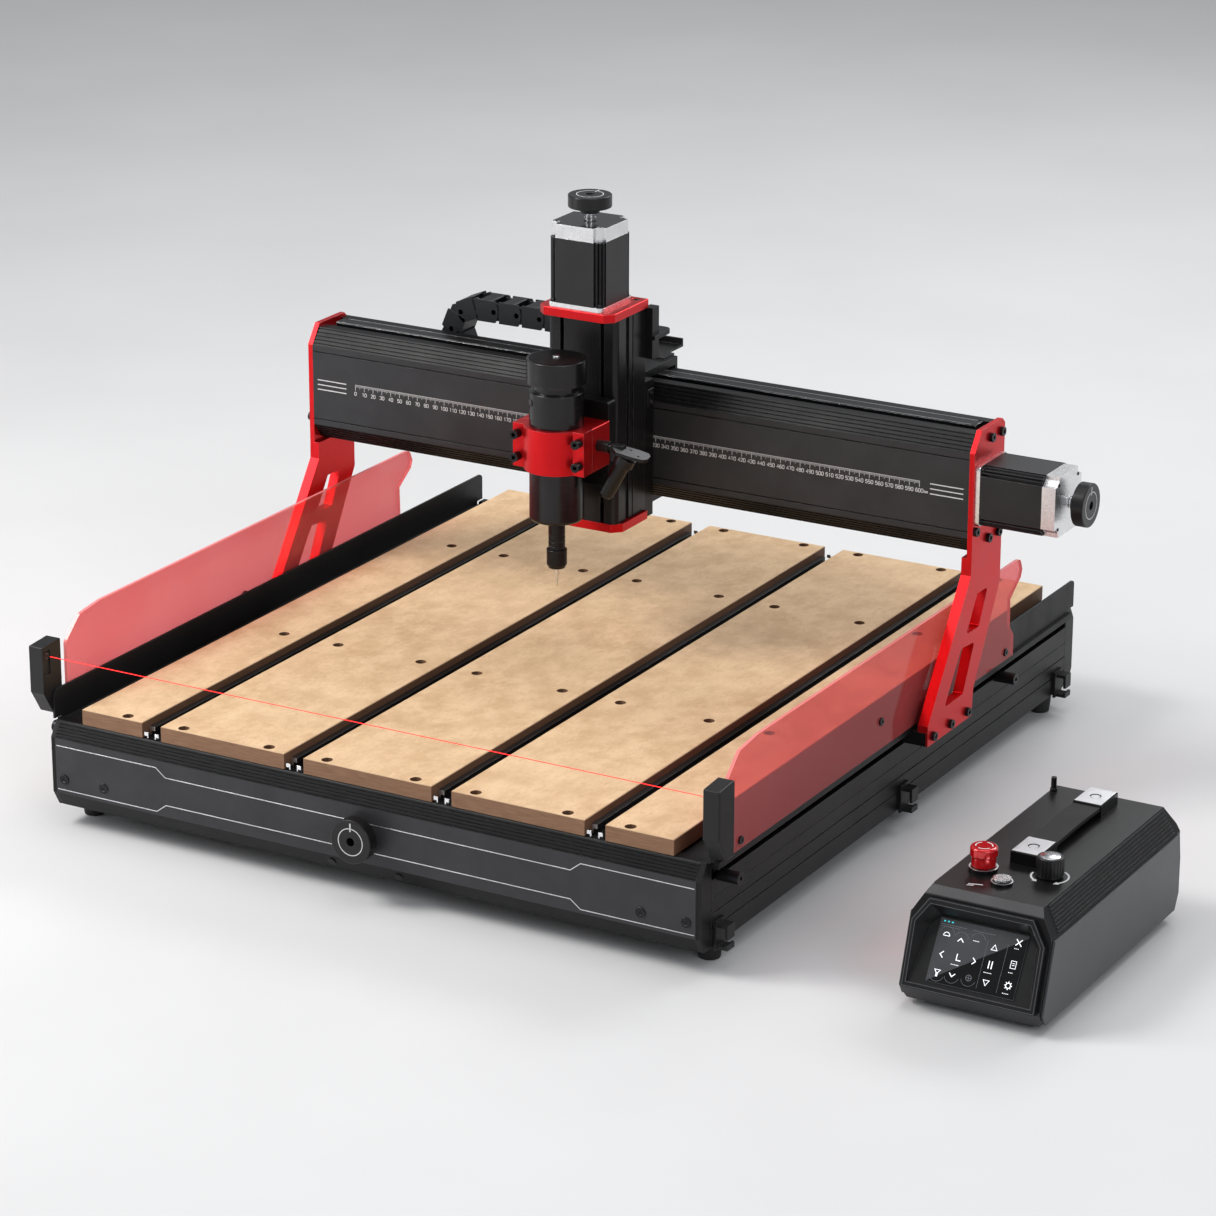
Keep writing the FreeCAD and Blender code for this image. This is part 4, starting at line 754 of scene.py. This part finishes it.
# ribs down the corners of two motors, on the column and on the beam
for name, body, put, h0, h1 in (("column_motor_ribs", "x_slide", lambda a, c, h: (-8 + a, 395.2 + c, h), 324.2, 383.8),
                                ("beam_motor_ribs", "gantry", lambda a, c, h: (h, 481.5 + a, 177.5 + c), 358.2, 417.8)):
    b = Build()
    for sa in (-1, 1):
        for sc_ in (-1, 1):
            for off, r_ in ((-3.4, 1.0), (0.0, 1.3), (3.4, 1.0)):
                ca, cc = sa * (24.6 + off * 0.7071 * 0.9), sc_ * (24.6 - off * 0.7071 * 0.9)
                ring = [(ca + r_ * math.cos(2 * math.pi * k / 12), cc + r_ * math.sin(2 * math.pi * k / 12)) for k in range(12)]
                b.add([put(x_, y_, h0) for x_, y_ in ring] + [put(x_, y_, h1) for x_, y_ in ring],
                      [tuple(range(12))[::-1], tuple(range(12, 24))] + [(k, (k + 1) % 12, 12 + (k + 1) % 12, 12 + k) for k in range(12)])
    b.make(name, M["oxide"], body)
b = Build()
for sx in (-1, 1):
    for sy in (-1, 1):
        b.lathe([(2.6, 0), (2.6, 2.4), (2.2, 2.9), (1.3, 2.9), (1.3, 1.4), (0, 1.4)], (-8 + sx * 24.2, 395.2 + sy * 24.2, 324.0), "z", 20)
        b.lathe([(1.5, -0.1), (1.5, 0.5), (0.8, 0.8), (0, 0.8)], (-8 + sx * 20.5, 395.2 + sy * 20.5, 397.0), "z", 16, mi=1)
b.make("column_motor_screws", [M["oxide"], M["bright"]], "x_slide")
b = Build()
for sy in (-1, 1):
    for sz in (-1, 1):
        b.lathe([(1.5, -0.1), (1.5, 0.5), (0.8, 0.8), (0, 0.8)], (431.0, 481.5 + sy * 20.5, 177.5 + sz * 20.5), "x", 16)
b.make("beam_motor_screws", M["oxide"], "gantry")
# shaft ends, with a bright collar, between the column and beam motors and their knobs
b = Build()
b.lathe([(4.05, 0), (5.6, 0.0), (5.6, 1.2), (4.6, 1.6), (4.6, 3.2), (4.05, 3.4)], (-8, 395.2, 398.2), "z", 32)
b.make("column_shaft_collar", M["bright"], "z_drive")
b = Build()
b.lathe([(4.05, 0), (5.6, 0.0), (5.6, 1.2), (4.6, 1.6), (4.6, 3.2), (4.05, 3.4)], (432.2, 481.5, 177.5), "x", 32)
b.make("beam_shaft_collar", M["bright"], "x_drive")

# spindle: a side screw, a dark disc over the cap and the cap's bright centre
b = Build()
ang = math.radians(-128)
sx_, sy_ = -8 + 24.9 * math.cos(ang), 335 + 24.9 * math.sin(ang)
n_ = (math.cos(ang), math.sin(ang))
t_ = (-n_[1], n_[0])
for r0, r1, h0, h1 in ((3.4, 3.4, -1.0, 0.5), (2.0, 2.0, 0.4, 0.9)):
    ring = [(math.cos(2 * math.pi * k / 24), math.sin(2 * math.pi * k / 24)) for k in range(24)]
    va = [(sx_ + t_[0] * r0 * c + n_[0] * h0, sy_ + t_[1] * r0 * c + n_[1] * h0, 243.5 + r0 * s) for c, s in ring]
    vb = [(sx_ + t_[0] * r1 * c + n_[0] * h1, sy_ + t_[1] * r1 * c + n_[1] * h1, 243.5 + r1 * s) for c, s in ring]
    b.add(va + vb, [tuple(range(24))[::-1], tuple(range(24, 48))] + [(i, (i + 1) % 24, 24 + (i + 1) % 24, 24 + i) for i in range(24)])
b.make("spindle_side_screw", M["oxide"], "z_head")
b = Build()
b.lathe([(24.9, 0), (24.9, 0.35), (0, 0.35)], (-8, 335, 283.0), "z", 72)
b.lathe([(3.4, 0), (3.4, 1.2), (2.8, 1.7), (0, 1.7)], (-8, 335, 283.3), "z", 32, mi=1)
b.make("spindle_cap_disc", [M["well"], M["bright"]], "z_head")

# light barrier lenses
b = Build()
for s in (-1, 1):
    b.lathe([(2.7, 0), (2.9, s * 0.5), (2.0, s * 0.8), (0, s * 0.8)] if s < 0 else [(2.7, 0), (2.9, -0.5), (2.0, -0.8), (0, -0.8)], (s * 332.4, -5, 46), "x", 28)
b.make("barrier_lenses", M["lens"], "base", weld=True)

# =============================================================== controller details
X = 558.5
slope = math.hypot(48 - 24, 75)
ty, tz = 24 / slope, 75 / slope
ny, nz = -tz, ty


def scr(u, s, h):
    """Point on the leaning front: u across from the middle, s up the slope, h off the surface."""
    return (X + u, 24 + ty * s + ny * h, -95 + tz * s + nz * h)


b = Build()


def on(u, s_, h):
    """On the glass, which sinks 0.249 mm for each mm up the slope."""
    return scr(u, s_, 4.04 - 0.249 * (s_ - 5) + h)


lo_, hi_ = 9.0, 59.8


def U(fx):
    return -38.5 + 77 * fx


def S(fy):
    return hi_ - (hi_ - lo_) * fy


def icon(lines, w=0.9, mi=0):
    cu = sum(p[0] for l in lines for p in l) / sum(len(l) for l in lines)
    cs = sum(p[1] for l in lines for p in l) / sum(len(l) for l in lines)
    k = 0.86 if max(abs(p[0] - cu) + abs(p[1] - cs) for l in lines for p in l) < 7 else 1.0
    strokes(b, [[(cu + (u_ - cu) * k, cs + (s_ - cs) * k) for u_, s_ in l] for l in lines], w * 0.72, on, 0.10, mi)


for fx, fy, k in ((0.27, 0.28, 90), (0.27, 0.83, 270), (0.10, 0.55, 180), (0.47, 0.55, 0)):
    u, s = U(fx), S(fy)
    a = math.radians(k)
    pts = [(-1.4, 3.0), (1.8, 0), (-1.4, -3.0)]
    icon([[(u + p * math.cos(a) - q * math.sin(a), s + p * math.sin(a) + q * math.cos(a)) for p, q in pts]], 1.0)
icon([[(U(.27), S(.48)), (U(.27), S(.60)), (U(.33), S(.60))]], 1.0)
for fy, f in ((0.28, 1), (0.83, -1)):
    u, s = U(.66), S(fy)
    icon([[(u - 3, s - 2 * f), (u + 3, s - 2 * f), (u, s + 3 * f), (u - 3, s - 2 * f)]], 0.8)
icon([[(U(.64), S(.48)), (U(.64), S(.62))], [(U(.68), S(.48)), (U(.68), S(.62))]], 1.2)
u, s = U(.91), S(.12)
icon([[(u - 3, s - 3), (u + 3, s + 3)], [(u - 3, s + 3), (u + 3, s - 3)]], 1.1)
u, s = U(.91), S(.47)
icon([[(u - 2.6, s - 3.4), (u + 2.6, s - 3.4), (u + 2.6, s + 3.4), (u - 2.6, s + 3.4), (u - 2.6, s - 3.4)], [(u - 1.2, s + 1.2), (u + 1.2, s + 1.2)], [(u - 1.2, s - 0.6), (u + 1.2, s - 0.6)]], 0.6)
u, s = U(.91), S(.80)
icon([arc(u, s, 2.4, 0, 360, 20)], 0.9)
icon([[(u + 2.4 * math.cos(math.radians(a)), s + 2.4 * math.sin(math.radians(a))), (u + 3.9 * math.cos(math.radians(a)), s + 3.9 * math.sin(math.radians(a)))] for a in range(0, 360, 45)], 1.0)
u, s = U(.10), S(.24)
icon([arc(u, s - 1, 3.2, 0, 180, 14), [(u - 3.2, s - 1), (u + 3.2, s - 1)]], 0.8)
u, s = U(.10), S(.85)
icon([[(u - 3, s + 3), (u + 3, s + 3), (u + .6, s), (u + .6, s - 3), (u - .6, s - 3), (u - .6, s), (u - 3, s + 3)]], 0.9)
u, s = U(.46), S(.82)
icon([arc(u, s, 2.8, 0, 360, 18), [(u - 2.8, s), (u + 2.8, s)], [(u, s - 2.8), (u, s + 2.8)]], 0.5, 1)
for fx, fy in ((.27, .28), (.27, .83), (.10, .24), (.10, .85), (.46, .24), (.46, .82)):
    icon([arc(U(fx), S(fy), 6.6, 20, 160, 14) if fy < .5 else arc(U(fx), S(fy), 6.6, 200, 340, 14)], 0.3, 1)
for fx in (.57, .80):
    icon([[(U(fx), S(.18)), (U(fx), S(.95))]], 0.25, 1)
for k in range(3):
    icon([[(U(.03 + .045 * k), S(.035)), (U(.055 + .045 * k), S(.035))]], 1.5, 2)
for fx, fy, w in ((.02, .085, .30), (.38, .085, .28), (.02, .115, .22), (.40, .24, .10), (.22, .67, .11), (.60, .68, .11), (.87, .22, .08), (.87, .60, .08), (.86, .93, .10)):
    n = int(w / 0.022)
    icon([[(U(fx + .022 * k), S(fy)), (U(fx + .022 * k + .013), S(fy))] for k in range(n)], 0.7, 0 if fy > .2 else 1)
b.make("screen_icons", [M["icon"], M["icon_dim"], M["icon_teal"]], "controller", weld=False)

# painted shade: a dark triangle over the lower right half of the screen glass
b = Build()
tri = [(-38.7, lo_), (38.7, lo_), (38.7, hi_ - 1.5)]
b.add([on(u, s, -0.03) for u, s in tri] + [on(u, s, 0.03) for u, s in tri], [(2, 1, 0), (3, 4, 5), (0, 1, 4, 3), (1, 2, 5, 4), (2, 0, 3, 5)])
b.make("screen_shade", M["screen_dark"], "controller", weld=False)

# trim lines round the screen housing
b = Build()
fr_ = lambda u, s, h: scr(u, s, 5.0 + h)
strokes(b, [[(-58.2, 1.3), (58.2, 1.3), (58.2, 55.8), (45.6, 75.2), (-45.6, 75.2), (-58.2, 55.8), (-58.2, 1.3)]], 0.45, fr_, 0.05)
strokes(b, [[(-55.4, 4.6), (-55.4, 55.1), (-44.2, 71.3), (44.2, 71.3), (55.4, 55.1), (55.4, 4.6), (-55.4, 4.6)]], 0.4, fr_, 0.05)
b.make("housing_trim", M["trim"], "controller", weld=False)

# ribs on the long chamfers, between the top and the side panels
b = Build()
for s in (-1, 1):
    for k in range(8):
        t = (k + 0.7) / 8.4
        x = X + s * (49 + 13 * t)
        z = -14 - 22 * t
        nx, nz2 = s * 22 / 25.55, 13 / 25.55
        tx, tz2 = s * 13 / 25.55, -22 / 25.55
        q = [(x - tx * 0.95, z - tz2 * 0.95), (x - tx * 0.5 + nx * 0.9, z - tz2 * 0.5 + nz2 * 0.9), (x + tx * 0.5 + nx * 0.9, z + tz2 * 0.5 + nz2 * 0.9), (x + tx * 0.95, z + tz2 * 0.95)]
        q = [(x_ - nx * 0.4 if i in (0, 3) else x_, z_ - nz2 * 0.4 if i in (0, 3) else z_) for i, (x_, z_) in enumerate(q)]
        y0 = 62 - 6 * t
        b.add([(p[0], y0, p[1]) for p in q] + [(p[0], 297, p[1]) for p in q], [(0, 1, 2, 3), (7, 6, 5, 4), (0, 4, 5, 1), (1, 5, 6, 2), (2, 6, 7, 3), (3, 7, 4, 0)])
b.make("controller_ribs", M["case"], "controller", weld=False)

# printed arcs round the dial, bars beside the buttons
b = Build()
top = lambda u, v, h: (u, v, -14 + h)
strokes(b, [arc(585.8, 114.8, 15.4, 176, 236, 18), arc(585.8, 114.8, 15.4, -42, 62, 26)], 1.7, top, 0.08)
for a_, s_ in ((-42, -1), (236, 1)):
    c_, q_ = math.cos(math.radians(a_)), math.sin(math.radians(a_))
    tip = (585.8 + 15.4 * c_ - s_ * 4.2 * q_, 114.8 + 15.4 * q_ + s_ * 4.2 * c_)
    b.prism([(585.8 + 12.9 * c_, 114.8 + 12.9 * q_), (585.8 + 17.9 * c_, 114.8 + 17.9 * q_), tip][::1 if s_ > 0 else -1], "z", -14, -13.92)
strokes(b, [[(534.5, 68.0), (546.0, 71.5)], [(534.5, 65.2), (540.0, 66.9)]], 1.4, top, 0.08)
b.make("controller_marks", M["ink"], "controller", weld=False)
# bright inlay and grips on the dial
b = Build()
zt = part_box("speed_knob")[1][2] * 1000
b.lathe([(8.6, -0.6), (8.6, 0.2), (8.3, 0.4), (0, 0.4)], (585.8, 114.8, zt), "z", 48)
b.make("dial_inlay", M["bright"], "dial")
b = Build()
for k in range(24):
    a = math.radians(15 * k)
    c, s = math.cos(a), math.sin(a)
    q = [(10.7, -0.65), (11.5, -0.35), (11.5, 0.35), (10.7, 0.65)]
    b.prism([(585.8 + r * c - t * s, 114.8 + r * s + t * c) for r, t in q], "z", zt - 15.5, zt - 1.6)
b.make("dial_grips", M["knob"], "dial")
# emergency stop: three printed arcs on the top
b = Build()
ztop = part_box("emergency_stop")[1][2] * 1000
estop = lambda u, v, h: (533.6 + u, 99.3 + v, ztop + h)
for a in (10, 130, 250):
    strokes(b, [arc(0, 0, 7.0, a, a + 85, 12)], 1.0, estop, 0.08)
b.make("stop_marks", M["ink"], "stop_button", weld=False)
# light of the barrier, seen as a thin line: not part of the machine
b = Build()
b.lathe([(0.35, -329.0), (0.35, 329.0)], (0, -5, 46), "x", 8)
ray = b.make("barrier_light", M["beamlight"], None, ride=False)


# =============================================================== floor, light, camera
def floor_mat():
    m = Mat("floor_pale")
    n = m.noise(3, 5)
    m.principled(Base_Color=m.mix(m.range(n, 0.3, 0.7), (0.74, 0.74, 0.745), (0.78, 0.78, 0.785)), Roughness=0.6, Normal=m.bump(m.noise(180, 3), 0.03, 0.0004))
    return m.m


me = bpy.data.meshes.new("floor")
z = -0.1141
me.from_pydata([(-30, -30, z), (30, -30, z), (30, 30, z), (-30, 30, z)], [], [(0, 1, 2, 3)])
me.materials.append(floor_mat())
fl = bpy.data.objects.new("floor", me)
bpy.context.scene.collection.objects.link(fl)

world = bpy.data.worlds.new("studio")
bpy.context.scene.world = world
world.use_nodes = True
wt = world.node_tree
wt.nodes["Background"].inputs[0].default_value = (0.80, 0.82, 0.85, 1)
wt.nodes["Background"].inputs[1].default_value = 0.42


def area(name, loc, target, size, power, colour=(1, 1, 1)):
    L = bpy.data.lights.new(name, "AREA")
    L.shape, L.size, L.size_y = "RECTANGLE", size[0], size[1]
    L.energy, L.color = power, colour
    o = bpy.data.objects.new(name, L)
    o.location = loc
    o.rotation_euler = (Vector(target) - Vector(loc)).to_track_quat("-Z", "Y").to_euler()
    bpy.context.scene.collection.objects.link(o)


area("key", (-1.7, -1.3, 2.5), (0, 0, 0), (1.3, 1.0), 58, (1.0, 0.985, 0.96))
area("fill", (2.6, -1.7, 1.4), (0.1, 0, 0.05), (1.4, 1.2), 17, (0.95, 0.97, 1.0))
area("rim", (0.6, 2.4, 2.0), (0, 0, 0.1), (2.4, 0.8), 34)
area("top", (0.2, 0.0, 2.8), (0, 0, 0), (2.0, 1.6), 16)
area("left_strip", (-1.25, -1.0, 0.75), (0, 0.0, 0.2), (0.22, 1.3), 7)

az, el, roll = math.radians(29.712), math.radians(19.506), math.radians(0.124)
back = Vector((math.sin(az) * math.cos(el), -math.cos(az) * math.cos(el), math.sin(el)))
right = Vector((math.cos(az), math.sin(az), 0))
up_ = back.cross(right)
r2 = right * math.cos(roll) + up_ * math.sin(roll)
u2 = up_ * math.cos(roll) - right * math.sin(roll)
cam_d = bpy.data.cameras.new("camera")
cam_d.sensor_width = 36
cam_d.lens = 125.74
cam_d.clip_start, cam_d.clip_end = 0.1, 100
cam = bpy.data.objects.new("camera", cam_d)
bpy.context.scene.collection.objects.link(cam)
rot = Matrix((r2, u2, back)).transposed().to_4x4()
cam.matrix_world = Matrix.Translation(Vector((1.85075, -3.19479, 1.34409))) @ rot
bpy.context.scene.camera = cam
bpy.context.scene.view_settings.view_transform = "Standard"

bpy.context.view_layer.update()
